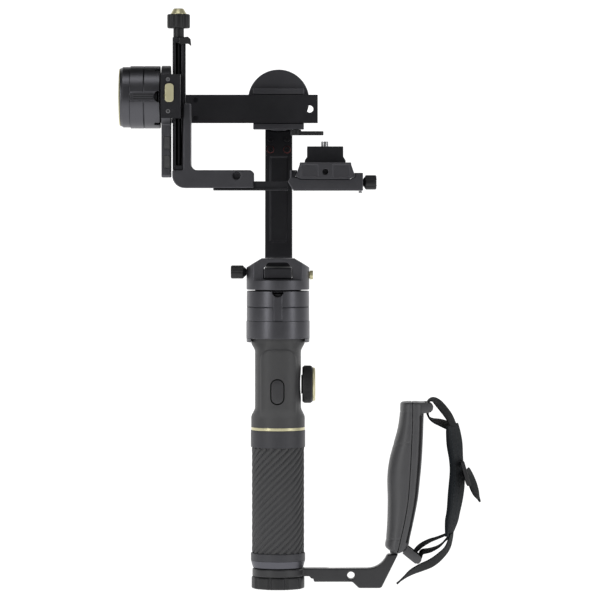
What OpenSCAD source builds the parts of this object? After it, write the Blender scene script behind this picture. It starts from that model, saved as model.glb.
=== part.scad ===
// Handheld three-axis camera gimbal with a sling handle.
// Upright, front of the camera platform towards -Y, pan axis on Z, foot at Z = 0.

/* [Handle] */
// Outer radius of the collars at both ends of the grip
collar_r = 23; // [22:0.25:24]
// Outer radius of the rubber grip sleeve
sleeve_r = 22.15; // [21.9:0.05:22.6]
// Height of the lower edge of the rubber sleeve
sleeve_z = 30; // [29:0.5:32]
// Length of the rubber sleeve
sleeve_h = 89.5; // [86:0.5:90]
// Half width of the control housing at its waist
waist_x = 19.45; // [19:0.05:20]

/* [Motors] */
// Outer radius of every motor shell
motor_r = 26.4; // [26:0.1:26.6]
// Length of every motor shell
motor_h = 25.2; // [25:0.1:25.6]
// Gap between each motor and the part it turns
motor_gap = 1.1; // [0.8:0.1:1.3]

/* [Arms] */
// Height of the roll and tilt axes above the foot
axis_z = 415; // [415:0.5:420]
// Front face of the roll arm's cross bar, measured back from the pan axis
bar_y = 84; // [84:0.5:88]
// Width of the pan arm
arm_w = 23.8; // [22:0.2:24]

/* [Platform] */
// Distance from the pan axis to the middle of the camera plate
plate_x = 39.5; // [38:0.5:42]
// Height of the plate's upper face
plate_top = 359.2; // [358:0.2:361]
// Height of the riser with its pad
riser_h = 13.6; // [12:0.2:16]

/* [Hidden] */
$fn = 72;

// Finishes
black = [0.10, 0.10, 0.11];
graphite = [0.26, 0.26, 0.28];
anodised = [0.32, 0.32, 0.34];
rubber = [0.17, 0.17, 0.17];
gold = [0.85, 0.78, 0.52];
steel = [0.62, 0.62, 0.64];
copper = [0.72, 0.42, 0.24];
green = [0.08, 0.25, 0.14];
glass = [0.05, 0.06, 0.08];
webbing = [0.05, 0.06, 0.08];

// Heights of the handle's joints
knob_h = 10;
ring_z0 = 10.2;
ring_z1 = 17;
cap_z0 = 17.2;
cap_z1 = 23.7;
tube_r = 21.2;
tube_in = 20.2;
tube_z1 = 134;
housing_z0 = 136.5;
housing_z1 = 211.5;
base_z1 = 226.4;
clamp_z0 = base_z1 + motor_h + motor_gap;
clamp_z1 = 279;

// Screw sizes
quarter_r = 3.2;       // 1/4-20 hole
stud_r = 4.76;         // 3/8-16 stud
running = 0.05;        // radial clearance of a turning fit
slide_gap = 0.25;      // clearance of a sliding fit

// Positions across the upper frame
tilt_face_x = -99.1;   // end of the tilt motor that faces the platform
plate_l = tilt_face_x + motor_gap;
plate_r = -90.3;
post_l = -88.7;
post_r = -78;
post_x = -83.7;        // middle of the post's channel, where the lead screw runs
leg_r = -73.3;
bracket_z0 = 338.3;
bracket_z1 = 353.5;
roll_face_y = 102;
flange_y = roll_face_y - motor_gap;
bar_t = 10;
bar_z0 = 395;
bar_z1 = 419.5;
arm_back_y = 138;
shell_back_y = roll_face_y + motor_h;

// ---------- shared shapes ----------

// A hollow round body on Z
module tube(r_out, r_in, z0, z1) {
  translate([0, 0, z0]) difference() {
    cylinder(r = r_out, h = z1 - z0);
    translate([0, 0, -1]) cylinder(r = r_in, h = z1 - z0 + 2);
  }
}

// A solid of revolution on Z from radius and height pairs
module turned(points) {
  rotate_extrude() polygon(points);
}

// A prism along Y from an outline in X and Z
module prism_y(y0, y1) {
  translate([0, y1, 0]) rotate([90, 0, 0]) linear_extrude(y1 - y0) children();
}

// A prism along X from an outline in Y and Z
module prism_x(x0, x1) {
  translate([x0, 0, 0]) rotate([90, 0, 90]) linear_extrude(x1 - x0) children();
}

module pin_x(r, x0, x1, y, z) {
  translate([x0, y, z]) rotate([0, 90, 0]) cylinder(r = r, h = x1 - x0);
}

module pin_y(r, y0, y1, x, z) {
  translate([x, y1, z]) rotate([90, 0, 0]) cylinder(r = r, h = y1 - y0);
}

module pin_z(r, z0, z1, x, y) {
  translate([x, y, z0]) cylinder(r = r, h = z1 - z0);
}

module block(low, high) {
  translate(low) cube(high - low);
}

// A rectangle with round corners, centred
module plate_2d(w, h, r) {
  square([w - 2 * r, h], center = true);
  square([w, h - 2 * r], center = true);
  for (x = [-1, 1], y = [-1, 1])
    translate([x * (w / 2 - r), y * (h / 2 - r)]) circle(r = r);
}

// A round knob on Z with lobes, from height z0 to z1
module lobed_knob(r, lobes, groove_r, z0, z1) {
  difference() {
    turned([[0, z0], [r - 0.8, z0], [r, z0 + 0.8], [r, z1 - 0.8], [r - 0.8, z1], [0, z1]]);
    for (i = [0 : lobes - 1]) rotate(i * 360 / lobes)
      pin_z(groove_r, z0 - 1, z1 + 1, r + groove_r * 0.62, 0);
  }
}

// Points of an arc in the plane, from angle a0 to a1
function arc(cx, cy, r, a0, a1, n) =
  [for (i = [0 : n]) let (a = a0 + (a1 - a0) * i / n) [cx + r * cos(a), cy + r * sin(a)]];

// Outline of a band of thickness t that follows a line of points
function normal_at(p, i) = let (
    a = p[max(i - 1, 0)],
    b = p[min(i + 1, len(p) - 1)],
    d = b - a
  ) [-d[1], d[0]] / norm(d);
function band(p, t) = concat(
  [for (i = [0 : len(p) - 1]) p[i] + normal_at(p, i) * t / 2],
  [for (i = [len(p) - 1 : -1 : 0]) p[i] - normal_at(p, i) * t / 2]
);

// A point on a smooth curve through the points p, at the place u along it
function mix(a, b, c, d, t) = 0.5 * (2 * b + (c - a) * t + (2 * a - 5 * b + 4 * c - d) * t * t
  + (3 * b - a - 3 * c + d) * t * t * t);
function smooth(p, n) = [
  for (i = [0 : len(p) - 2], k = [0 : n - 1])
    mix(p[max(i - 1, 0)], p[i], p[i + 1], p[min(i + 2, len(p) - 1)], k / n),
  p[len(p) - 1]
];

// ---------- motor, built on Z with its turning end up ----------

notch_r = 4.8;
shell_t = 2.4;
cover_t = 1;

module motor_shell(lock_slots) {
  difference() {
    union() {
      tube(motor_r, motor_r - shell_t, 0, motor_h);
      tube(motor_r - 1, 8, motor_h - cover_t, motor_h);
    }
    // flat channel down the front, with sloping walls
    linear_extrude(height = 3 * motor_h, center = true)
      polygon([[-4.6, -motor_r - 1], [-3.2, -motor_r + 1.2], [3.2, -motor_r + 1.2],
               [4.6, -motor_r - 1]]);
    // half-round notch at the head of the channel, and slots for the lock round the rim
    pin_y(notch_r, -motor_r - 1, -motor_r + 5, 0, motor_h);
    for (a = lock_slots) rotate(a) block([-1.9, -motor_r - 1, motor_h - 4.5], [1.9, -motor_r + 5, motor_h + 1]);
    // fine parting line round the shell
    tube(motor_r + 1, motor_r - 0.35, 11.4, 12);
  }
}

module motor_stator() {
  difference() {
    union() {
      tube(17.5, 7, 4, 18);
      tube(8, 4.6, 0, 19.4);
      tube(motor_r - shell_t, 7, 0, 2.5);
    }
    for (i = [0 : 11]) rotate(i * 30) block([11, -1.6, 3.5], [19, 1.6, 19]);
  }
}

module motor_rotor() {
  tube(20.6, 18.2, 5, 20);
  translate([0, 0, 20]) cylinder(r = 20.6, h = 3);
  pin_z(4.6 - running, 1, motor_h + motor_gap, 0, 0);
}

// ---------- foot and grip ----------

module base_knob() {
  color(black) difference() {
    union() {
      lobed_knob(22.5, 10, 2.2, 0, knob_h);
      pin_z(stud_r, knob_h, 26, 0, 0);
    }
    pin_z(quarter_r, -1, 8, 0, 0);
  }
}

module end_cap() {
  color(anodised) difference() {
    turned([[0, cap_z0], [20.5, cap_z0], [21.4, cap_z0 + 0.8], [collar_r, cap_z1], [tube_in, cap_z1],
            [tube_in, 32], [0, 32]]);
    pin_z(stud_r + running, cap_z0 - 1, 27, 0, 0);
  }
}

module grip_tube() {
  color(graphite) difference() {
    union() {
      tube(tube_r, tube_in, cap_z1, tube_z1);
      tube(collar_r, tube_r - 0.5, cap_z1, sleeve_z);
      tube(collar_r, tube_r - 0.5, sleeve_z + sleeve_h, tube_z1);
    }
  }
}

module grip_sleeve() {
  color(rubber) tube(sleeve_r, tube_r, sleeve_z, sleeve_z + sleeve_h);
}

module accent_ring() {
  color(gold) tube(22.7, 18, tube_z1, housing_z0);
}

cell_r = 9.1;
cell_offset = 10.75;
module battery_cells() {
  color("steelblue") for (i = [0 : 2]) rotate(i * 120 + 90)
    translate([cell_offset, 0, 42]) {
      cylinder(r = cell_r, h = 65);
      cylinder(r = 3, h = 66.5);
    }
}

// ---------- control housing ----------

// Side outline of the housing, inset by t
module housing_outline(t) {
  w = 22.7 - t;
  n = waist_x - t;
  polygon([[-w, housing_z0 + t], [-w, 144.7], [-n, 152.2], [-n, 201], [-w, 208.3],
           [-w, housing_z1 - t], [w, housing_z1 - t], [w, 208.3], [n, 201], [n, 152.2],
           [w, 144.7], [w, housing_z0 + t]]);
}

rear_flat_y = 19.5;
panel_t = 1.6;
button_z = 167;
wheel_z = 172.6;
stick_z = 177;
dial_z = 156;

module housing() {
  difference() {
    intersection() {
      translate([0, 0, housing_z0]) cylinder(r = 22.7, h = housing_z1 - housing_z0);
      prism_y(-30, rear_flat_y) housing_outline(0);
    }
    intersection() {
      translate([0, 0, housing_z0 + 2]) cylinder(r = 20.4, h = housing_z1 - housing_z0 - 4);
      prism_y(-30, rear_flat_y - 2.2) housing_outline(2.2);
    }
    // cable passage up to the pan motor and down to the cells
    pin_z(7, housing_z0 - 1, housing_z1 + 1, 0, 0);
    // trigger opening at the front
    prism_y(-30, -12) translate([-0.4, button_z]) plate_2d(11.4, 21.4, 5.6);
    // wheel spindle at the right
    pin_x(3.2 + running, 10, 30, 0, wheel_z);
    // pocket and opening for the rear panel
    prism_y(rear_flat_y - panel_t, 30) translate([0, 172]) plate_2d(21.4, 66.4, 3.2);
    prism_y(12, 30) translate([0, 172]) plate_2d(17, 60, 2);
  }
}

module housing_front() {
  color(graphite) difference() {
    housing();
    block([-30, 0, 100], [30, 30, 250]);
  }
}

module housing_rear() {
  color(graphite) difference() {
    housing();
    block([-30, -30, 100], [30, 0, 250]);
  }
}

module control_board() {
  color(green) {
    block([-12, 2, 142], [12, 3.6, 204]);
    block([-6, -0.4, 180], [6, 2, 192]);
    block([-5, 3.6, 188], [5, 12, 200]);
  }
}

module rear_panel() {
  color(black) difference() {
    prism_y(rear_flat_y - panel_t, rear_flat_y + 0.3) translate([0, 172]) plate_2d(21, 66, 3);
    prism_y(10, 30) translate([0, 195]) plate_2d(17.2, 12.2, 1.1);
    pin_y(6, 10, 30, 0, stick_z);
    pin_y(4.4, 10, 30, 0, dial_z);
  }
}

module display_window() {
  color(glass) prism_y(rear_flat_y - panel_t, rear_flat_y + 0.1)
    translate([0, 195]) plate_2d(17, 12, 1);
}

module trigger_button() {
  color(black) prism_y(-23.4, -14) translate([-0.4, button_z]) plate_2d(10.6, 20.6, 5.2);
}

module control_wheel() {
  color(black) {
    translate([20.5, 0, wheel_z]) rotate([0, 90, 0]) lobed_knob(15.9, 48, 0.5, 0, 8.8);
    pin_x(8, waist_x + 0.15, 20.5, 0, wheel_z);
    pin_x(3.2, 14, 20.5, 0, wheel_z);
  }
}

module wheel_cap() {
  color(gold) translate([29.3, 0, wheel_z]) rotate([0, 90, 0])
    turned([[0, 0], [14.3, 0], [14.3, 1.4], [13.4, 2.3], [0, 2.3]]);
}

module joystick_ring() {
  color(black) translate([0, 0, stick_z]) rotate([-90, 0, 0]) tube(5.2, 3.6, 15, 17.4);
}

module joystick_cap() {
  color(rubber) translate([0, 0, stick_z]) rotate([-90, 0, 0])
    turned([[0, 14.2], [2, 14.2], [2, 21], [5, 22], [5.2, 24.6], [4.4, 25.6], [0, 25]]);
}

module mode_dial() {
  color(black) translate([0, rear_flat_y, dial_z]) rotate([-90, 0, 0]) difference() {
    lobed_knob(9, 30, 0.4, 0.5, 3.4);
    translate([0, 0, -1]) cylinder(r = 4.5, h = 6);
  }
}

module menu_button() {
  color(gold) pin_y(4.2, 15, rear_flat_y + 3.6, 0, dial_z);
}

// ---------- pan axis ----------

module pan_motor_base() {
  color(anodised) {
    difference() {
      translate([0, 0, housing_z1]) cylinder(r = 26.8, h = base_z1 - housing_z1);
      translate([0, 0, housing_z1 + 3]) cylinder(r = 23.6, h = base_z1 - housing_z1);
      pin_z(7, housing_z1 - 1, housing_z1 + 5, 0, 0);
    }
    // two cheeks that reach down over the housing
    for (s = [0, 1]) mirror([s, 0, 0]) intersection() {
      tube(26.6, 23.2, housing_z1 - 3.2, housing_z1);
      block([22.7, -30, 200], [30, 30, 220]);
    }
  }
}

module pan_motor_shell() {
  color(anodised) translate([0, 0, base_z1]) motor_shell([90 : 90 : 270]);
}

module pan_stator() {
  color(copper) translate([0, 0, base_z1]) motor_stator();
}

module pan_rotor() {
  color(steel) translate([0, 0, base_z1]) motor_rotor();
}

rail_w = 23.4;
rail_z0 = 262.1;
rail_z1 = 270.8;
screw_z = 267.5;
lock_x = 25.2;
lock_z = 265;

module pan_clamp() {
  color(anodised) difference() {
    translate([0, 0, clamp_z0]) cylinder(r = 26.6, h = clamp_z1 - clamp_z0);
    // flat faces front and back above the skirt
    for (s = [0, 1]) mirror([0, s, 0]) block([-30, -30, 261], [30, -17, 290]);
    // shoulders
    for (s = [0, 1]) mirror([s, 0, 0]) prism_y(-30, 30)
      polygon([[13.8, clamp_z1], [26.7, 271.3], [30, 271.3], [30, 290], [13.8, 290]]);
    // tunnel for the arm's rail
    prism_y(-30, 30) polygon([[-rail_w / 2 - slide_gap, rail_z0 - 0.1], [rail_w / 2 + slide_gap, rail_z0 - 0.1],
      [rail_w / 2 + slide_gap, rail_z1 + 0.2], [8.1, 275.8], [-8.1, 275.8], [-rail_w / 2 - slide_gap, rail_z1 + 0.2]]);
    pin_x(2.5 + running, -30, 0, 0, screw_z);
    // slot for the lock
    block([23.6, -2.3, 250], [30, 2.3, 270.5]);
  }
}

module pan_lock() {
  color(gold) {
    pin_x(3.8, 26.9, 29.6, 0, lock_z);
    block([24, -2, 262], [26.9, 2, 268]);
    pin_z(1.1, 253.4, 262, lock_x, 0);
  }
}

module yaw_screw() {
  color(black) translate([-28.9, 0, screw_z]) rotate([0, -90, 0]) {
    lobed_knob(5.7, 8, 1, 0, 11);
    translate([0, 0, -2]) cylinder(r1 = 3, r2 = 4.6, h = 2);
    translate([0, 0, -16.7]) cylinder(r = 2.5, h = 14.8);
  }
}

// ---------- pan arm and roll motor ----------

// Leaning faces of the riser, as distances back at a height z
function riser_front(z) = 99.6 + (z - 280.65) * 0.231;
riser_screw_z = [372.4, 381.6];
thread_z = 325;

module yaw_arm() {
  color(graphite) difference() {
    union() {
      prism_x(-rail_w / 2, rail_w / 2)
        polygon([[-19, rail_z0], [96, rail_z0], [96, rail_z1], [-19, rail_z1]]);
      prism_x(-arm_w / 2, arm_w / 2) polygon(concat(
        [[60, rail_z0]],
        arc(96, rail_z0 + 14, 14, -90, -14, 8),
        [[arm_back_y, 388], [arm_back_y, axis_z], [shell_back_y, axis_z], [shell_back_y, 392]],
        [[riser_front(388), 388]],
        arc(87, rail_z1 + 13, 13, -14, -90, 6),
        [[60, rail_z1]]
      ));
      pin_y(motor_r, shell_back_y, arm_back_y, 0, axis_z);
    }
    // clearance round the roll motor
    pin_y(motor_r + 0.05, 90, shell_back_y, 0, axis_z);
    // recessed panel down the front of the riser
    prism_x(-7.5, 7.5) polygon([for (p = [[292, 1.2], [366, 1.2], [366, -2], [292, -2]])
      [riser_front(p[0]) + p[1], p[0]]]);
    // cable way into the back of the roll motor
    pin_y(6, shell_back_y - 5, arm_back_y - 3, 0, axis_z);
    for (p = arm_screws()) translate(p) rotate([77, 0, 0])
      translate([0, 0, -8]) cylinder(r = 1.5, h = 20);
    // accessory thread through both sides
    pin_x(quarter_r, -20, 20, riser_front(thread_z) + 6, thread_z);
  }
}

// Seats of the four screws on the leaning front face
function arm_screws() = [
  for (x = [-7.2, 7.2], z = riser_screw_z) [x, riser_front(z), z]
];

module yaw_arm_screws() {
  color(steel) for (p = arm_screws()) translate(p) rotate([77, 0, 0]) {
    translate([0, 0, -7]) cylinder(r = 1.45, h = 7.3);
    difference() {
      translate([0, 0, 0.3]) cylinder(r = 2.7, h = 1.4);
      translate([0, 0, 0.9]) cylinder(r = 1.4, h = 2, $fn = 6);
    }
  }
}

// Turns a motor part so that its turning end faces the front, on the roll axis
module on_roll() {
  translate([0, shell_back_y, axis_z]) rotate([90, 0, 0]) children();
}

module roll_motor_shell() {
  color(anodised) on_roll() motor_shell([30 : 60 : 330]);
}

module roll_stator() {
  color(copper) on_roll() motor_stator();
}

module roll_rotor() {
  color(steel) on_roll() motor_rotor();
}

jaw_z0 = 389.5;
jaw_z1 = 425;

module roll_clamp() {
  color(anodised) difference() {
    union() {
      pin_y(26.6, bar_y + bar_t + slide_gap, flange_y, 0, axis_z);
      block([-22, bar_y + 1.5, jaw_z0], [22, 97, jaw_z1]);
    }
    block([-40, 60, bar_z0 - slide_gap], [40, bar_y + bar_t + slide_gap, bar_z1 + slide_gap]);
    pin_y(3 + running, 80, 120, 0, axis_z + 40);
    // slot for the lock
    block([23.6, 94.4, axis_z - 2.3], [30, 110, axis_z + 2.3]);
    pin_z(2.5 + running, 380, 394, 15, 90);
  }
}

module roll_lock() {
  color(gold) {
    pin_x(3.3, 26.9, 29.4, 97.8, axis_z);
    block([24, 95, axis_z - 2], [26.9, 98.5, axis_z + 2]);
    pin_y(1.1, 98.5, 101.3, lock_x, axis_z);
  }
}

module roll_lever() {
  color(black) {
    pin_z(4.6, 384.4, jaw_z0 - 0.2, 15, 90);
    pin_z(2.5, jaw_z0 - 0.2, 394, 15, 90);
    translate([15, 90, 384.4]) linear_extrude(3.6)
      polygon([[0, -4], [22, -3], [24, -1.6], [24, 1.6], [22, 3], [0, 4]]);
  }
}

// ---------- roll arm and tilt motor ----------

leg_x0 = -131;
leg_x1 = -105;
bar_end_x = 34;

module roll_arm() {
  color(graphite) difference() {
    translate([0, 0, bar_z0]) linear_extrude(bar_z1 - bar_z0) polygon(concat(
      [[leg_x0, 5], [leg_x1, 5]],
      arc(leg_x1 + 8, bar_y - 8, 8, 180, 90, 5),
      [[bar_end_x, bar_y], [bar_end_x, bar_y + bar_t]],
      arc(leg_x0 + 20, bar_y + bar_t - 20, 20, 90, 180, 8)
    ));
    pin_x(motor_r + 0.02, -200, -50, 0, axis_z);
    // long slot that guides the cross bar, with the scale side left plain
    block([-60, bar_y + bar_t - 2.5, 404], [bar_end_x - 6, bar_y + bar_t + 1, 410.5]);
    // two screw seats near the elbow
    for (z = [399.5, 415]) pin_y(2.2, bar_y - 1, bar_y + 3, -72, z);
    // end stop hole
    pin_y(quarter_r, bar_y - 1, bar_y + bar_t + 1, bar_end_x - 7, 407.2);
  }
}

// Turns a motor part so that its turning end faces right, on the tilt axis
module on_tilt() {
  translate([tilt_face_x - motor_h, 0, axis_z]) rotate([0, 90, 0]) children();
}

module tilt_motor_shell() {
  color(anodised) on_tilt() motor_shell([60 : 60 : 300]);
}

module tilt_end_cap() {
  color(graphite) on_tilt() rotate_extrude() polygon(concat(
    [[0, -0.02], [25.6, -0.02], [25.6, -6.5]],
    arc(22.4, -6.8, 2.4, 0, -70, 5),
    [[12, -10], [0, -10.4]]
  ));
}

module tilt_stator() {
  color(copper) on_tilt() motor_stator();
}

module tilt_rotor() {
  color(steel) on_tilt() motor_rotor();
}

lock_y = -25.2;
block_z0 = 396.8;
block_z1 = 433.5;

module tilt_plate() {
  color(anodised) difference() {
    union() {
      prism_x(plate_l, plate_r) {
        translate([0, axis_z]) circle(r = 26.6);
        polygon([[-13, 349], [-11.3, 347.3], [11.3, 347.3], [13, 349], [13, axis_z], [-13, axis_z]]);
      }
      // rear jaw behind the post
      block([plate_r - 1, 9.4, block_z0], [-81.5, 14, block_z1]);
    }
    // clearance for the lock pin
    block([plate_l - 1, -30, 412.5], [plate_r + 1, -23.4, 419.5]);
    // two port recesses in the front edge
    for (z = [376.6, 360.4]) block([-95.8, -14, z - 5.3], [-90.8, -10.5, z + 5.3]);
    // weight-saving pocket on the left
    prism_x(plate_l - 1, plate_l + 2) translate([0, 372]) plate_2d(13, 36, 4);
  }
}

module port_covers() {
  color(rubber) for (z = [376.6, 360.4])
    block([-95.7, -13.2, z - 5.2], [-90.9, -10.5, z + 5.2]);
}

module clamp_block() {
  color(black) difference() {
    union() {
      block([plate_l, -31, block_z0], [-81.5, -26.65, block_z1]);
      block([plate_r, -27, block_z0], [-81.5, -9.3, block_z1]);
      // nut that rides in the post's channel
      block([-85.8, -9.4, 405], [-81.6, 1.6, 425]);
    }
    pin_z(1.9 + running, 400, 430, post_x, -3);
    // slot for the lock's stem and pin
    block([-95.6, -40, 413.8], [-88, -27.2, 418.2]);
    block([-98.2, -28, 413.8], [-88, -23.4, 418.2]);
    for (z = [402.5, 429.2]) pin_y(1.3, -32, -20, -91.8, z);
  }
}

module tilt_lock() {
  color(gold) {
    prism_y(-33.2, -31.1) translate([-90.7, 418]) plate_2d(7.2, 15.4, 2.6);
    block([-92.4, -31.1, 414.4], [-88.6, -24, 417.6]);
    pin_x(1.1, -97.8, -92.4, lock_y, 415.5);
  }
}

// ---------- post, bracket and height screw ----------

post_z0 = bracket_z1;
post_z1 = 465.3;
channel_l = -86;
channel_r = -81.4;

module post_rail() {
  color(graphite) difference() {
    block([post_l, -9, post_z0], [post_r, 9, post_z1]);
    block([channel_l, -10, post_z0 + 4], [channel_r, 2, post_z1 - 5]);
    // bearing for the top of the lead screw
    pin_z(1.9 + running, post_z0 + 1, post_z1 + 1, post_x, -3);
    pin_y(1.6 + running, -10, 0, -79.8, 462);
  }
}

module camera_bracket() {
  color(graphite) difference() {
    union() {
      prism_y(-13, 13) polygon(concat(
        [[-20.2, bracket_z0], [-20.2, bracket_z1 - 2.5], [-22.7, bracket_z1]],
        arc(leg_r + 5, bracket_z1 + 5, 5, 270, 180, 5),
        [[leg_r, 409.4], [post_r, 409.4], [post_r, bracket_z1], [-88.9, bracket_z1]],
        arc(-78.4, bracket_z0 + 10.5, 10.5, 180, 270, 8)
      ));
      block([-79.7, -13, bracket_z1], [post_r, -9.05, 409.4]);
    }
    // slot for the sliding plate, open below
    block([-72, -10, bracket_z0 - 1], [-10, 10, 344.35]);
    // accessory thread in the front face
    pin_y(quarter_r, -14, -5, -34.7, 348.8);
  }
}

// A lobed cap with a turned cone, on the axis of the lead screw
module height_knob() {
  color(black) translate([post_x, -3, 0]) {
    lobed_knob(10.1, 6, 3.4, 473, 484.8);
    pin_z(4.5, post_z1 + 0.3, 473, 0, 0);
  }
  color(gold) translate([post_x, -3, 0])
    turned([[0, 484.8], [6.7, 484.8], [4.1, 489.7], [0, 489.7]]);
}

module lead_screw() {
  color(steel) pin_z(1.9, post_z0 + 1.5, post_z1 + 0.3, post_x, -3);
}

module height_lever() {
  color(black) {
    prism_y(-14, -9.2) polygon([[-83, 459.6], [-83, 464.6], [-75.6, 465.6], [-73.4, 463.6], [-72.8, 457.6],
      [-75.2, 459.6]]);
    pin_y(1.6, -9.2, -1, -79.8, 462);
  }
}

// ---------- camera platform ----------

slide_z0 = 336.3;

module slide_plate() {
  color(black) difference() {
    union() {
      block([-54.5, -9.75, slide_z0], [plate_x - 31, 9.75, 344.1]);
      prism_y(-12, 12) polygon([[-54.5, 338.1], [-52.7, slide_z0], [plate_x - 31, slide_z0],
        [plate_x - 31, 338.1]]);
    }
    block([-46, -3, slide_z0 + 4], [-8, 3, 345]);
  }
}

base_y0 = -80;
base_y1 = 22;
clamp_y = -62;
clamp_z = 342.9;
button_y = -68;
plate_y0 = -88;
plate_y1 = 30;
screw_y = 8;
screw_shank = 2.6;        // relieved, so the screw stays captive in the plate
screw_tip = 3.1;          // 1/4-20 camera screw

// Half outline of the plate's dovetail: [distance from the middle, height]
tail_foot = [20.6, 345.75];
tail_edge = [24.5, 347.9];
tail_top = [21.2, 357.6];

module qr_base() {
  color(graphite) difference() {
    translate([plate_x, 0, 0]) prism_y(base_y0, base_y1) polygon([
      [-29.2, 353], [-29.2, 346.5], [-31, 343.6], [-26.5, slide_z0 - 0.2], [31, slide_z0 - 0.2],
      [31, 350.7], [23.9, 350.7], [24.85, 347.9], [20.7, 345.45],
      [-20.7, 345.45], [-24.85, 347.9], [-23.1, 353]
    ]);
    // the left jaw stands back behind a thin wall
    block([plate_x - 27, base_y0 - 1, 346.8], [plate_x - 22, base_y0 + 4, 354]);
    // spindle of the clamp knob
    pin_x(2.5 + running, plate_x + 26, plate_x + 40, clamp_y, clamp_z);
    pin_z(1.4 + running, 330, 344, plate_x + 29, button_y);
    // lightening slots in the floor
    for (y = [-48, -12]) block([plate_x - 12, y - 10, 330], [plate_x + 12, y + 10, 350]);
  }
}

module qr_knob() {
  color(black) translate([plate_x + 31.4, clamp_y, clamp_z]) rotate([0, 90, 0]) {
    lobed_knob(6.2, 6, 1.8, 1.6, 11);
    cylinder(r1 = 3, r2 = 5, h = 1.6);
    translate([0, 0, -5]) cylinder(r = 2.5, h = 5);
  }
}

module safety_button() {
  color(steel) pin_z(1.4, 334, 342, plate_x + 29, button_y);
}

module qr_plate() {
  color(graphite) difference() {
    translate([plate_x, 0, 0]) for (m = [0, 1]) mirror([m, 0, 0]) prism_y(plate_y0, plate_y1)
      polygon([[-1, tail_foot[1]], tail_foot, tail_edge, tail_top, [tail_top[0], plate_top],
               [-1, plate_top]]);
    pin_y(2.4, plate_y0 - 1, plate_y0 + 12, plate_x, 351.5);
    // hole for the camera screw's shank, with a pocket for its head
    pin_z(screw_tip + 0.2, 340, 370, plate_x, screw_y);
    pin_z(6.6, 340, 350.2, plate_x, screw_y);
    // the middle of the end face stands out between two shallow steps
    for (s = [-1, 1]) block([plate_x + s * 13 - 7, plate_y0 - 1, 347.5],
                            [plate_x + s * 13 + 7, plate_y0 + 0.8, 357.5]);
  }
}

riser_y0 = -58;
riser_y1 = 26;

module camera_riser() {
  color(black) difference() {
    translate([plate_x, 0, 0]) prism_y(riser_y0, riser_y1) polygon([
      [-17, plate_top], [17, plate_top], [17, plate_top + 2], [15, plate_top + 5],
      [15, plate_top + riser_h], [-15, plate_top + riser_h], [-15, plate_top + 5], [-17, plate_top + 2]
    ]);
    pin_z(screw_tip + 0.2, 350, 400, plate_x, screw_y);
    block([plate_x - 9, -48, 364], [plate_x + 9, -16, 400]);
  }
}

module camera_screw() {
  color(steel) difference() {
    union() {
      pin_z(screw_shank, 349, plate_top + riser_h, plate_x, screw_y);
      pin_z(screw_tip, plate_top + riser_h, plate_top + riser_h + 5, plate_x, screw_y);
      pin_z(6.3, 346.1, 349.9, plate_x, screw_y);
    }
    block([plate_x - 8, screw_y - 0.8, 345], [plate_x + 8, screw_y + 0.8, 347.6]);
  }
}

// ---------- sling handle ----------

arm_t = 12;
hand_w = 32;

// Left edge, seam and right edge of the hand grip at points up its height: [z, left, seam, right]
hand = [
  [30.3, 97.6, 100.4, 104], [35.1, 91.3, 101.9, 109.4], [43.4, 91.9, 103.8, 111.4],
  [57.6, 92.8, 106.9, 114.5], [75.4, 93.1, 109.8, 117.9], [93.2, 92.8, 111.2, 119.9],
  [107.4, 94.3, 112, 121.2], [121.7, 97.9, 112.6, 122], [134.7, 101.4, 113.2, 122.5],
  [146.5, 103.2, 113.5, 122.8], [157.8, 103.8, 113.5, 122.9]
];
hand_rings = smooth(hand, 2);
ring_pts = 14;

// Half of a rounded section from the seam out to the edge
function half_ring(row, edge, sy) = [
  for (i = [0 : ring_pts]) let (
      a = 90 - 180 * i / ring_pts,
      w = edge - row[2],
      k = 0.72
    ) [row[2] + w * sign(cos(a)) * pow(abs(cos(a)), k),
       sy * hand_w / 2 * sign(sin(a)) * pow(abs(sin(a)), k), row[0]]
];

module half_grip(side) {
  rings = [for (row = hand_rings) half_ring(row, side < 0 ? row[1] : row[3], side < 0 ? 1 : -1)];
  n = ring_pts + 1;
  m = len(rings);
  pts = [for (r = rings, p = r) p];
  sides = [
    for (j = [0 : m - 2], i = [0 : n - 1]) let (k = (i + 1) % n)
      each [[j * n + i, (j + 1) * n + i, j * n + k], [j * n + k, (j + 1) * n + i, (j + 1) * n + k]]
  ];
  bottom = [[for (i = [0 : n - 1]) i]];
  top = [[for (i = [n - 1 : -1 : 0]) (m - 1) * n + i]];
  polyhedron(points = pts, faces = concat(bottom, sides, top));
}

// Flat core of the arm inside the grip
core = [[97.2, 29], [103, 44], [107.4, 62], [110, 80], [111.6, 100], [112.4, 130]];

module core_bar(t, w) {
  prism_y(-w / 2, w / 2) polygon(band(core, t));
}

module sling_arm() {
  color(black) difference() {
    union() {
      tube(21.75, stud_r + 0.3, ring_z0, ring_z1);
      prism_y(-arm_t / 2, arm_t / 2) polygon(concat(
        [[14, 16.9], [14, ring_z0], [27, ring_z0], [28.5, 5.5], [62.9, 5.5], [68.3, 0.2], [85.5, 0.2]],
        arc(85.5, 3.2, 3, -90, -26, 4),
        [[101.6, 28.8], [92.6, 28.8]],
        arc(75.6, 34.4, 17.6, -24, -90, 7),
        [[44, 16.6], [40, 16.9]]
      ));
      core_bar(6, 11);
    }
    pin_y(quarter_r, -10, 10, 61.7, 10.9);
    pin_z(stud_r + 0.3, 0, 30, 0, 0);
    block([27.6, -10, 4], [30.2, 10, 8.2]);
  }
}

lug_w = 27;
slot_w = 22;

// Strap lug: a plate with a slot near its outer end, drawn along +X from the origin
module strap_lug(length, t, slot_x) {
  difference() {
    translate([0, -lug_w / 2, -t / 2]) cube([length, lug_w, t]);
    translate([slot_x, -slot_w / 2, -t]) cube([4.4, slot_w, 2 * t]);
  }
}

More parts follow.
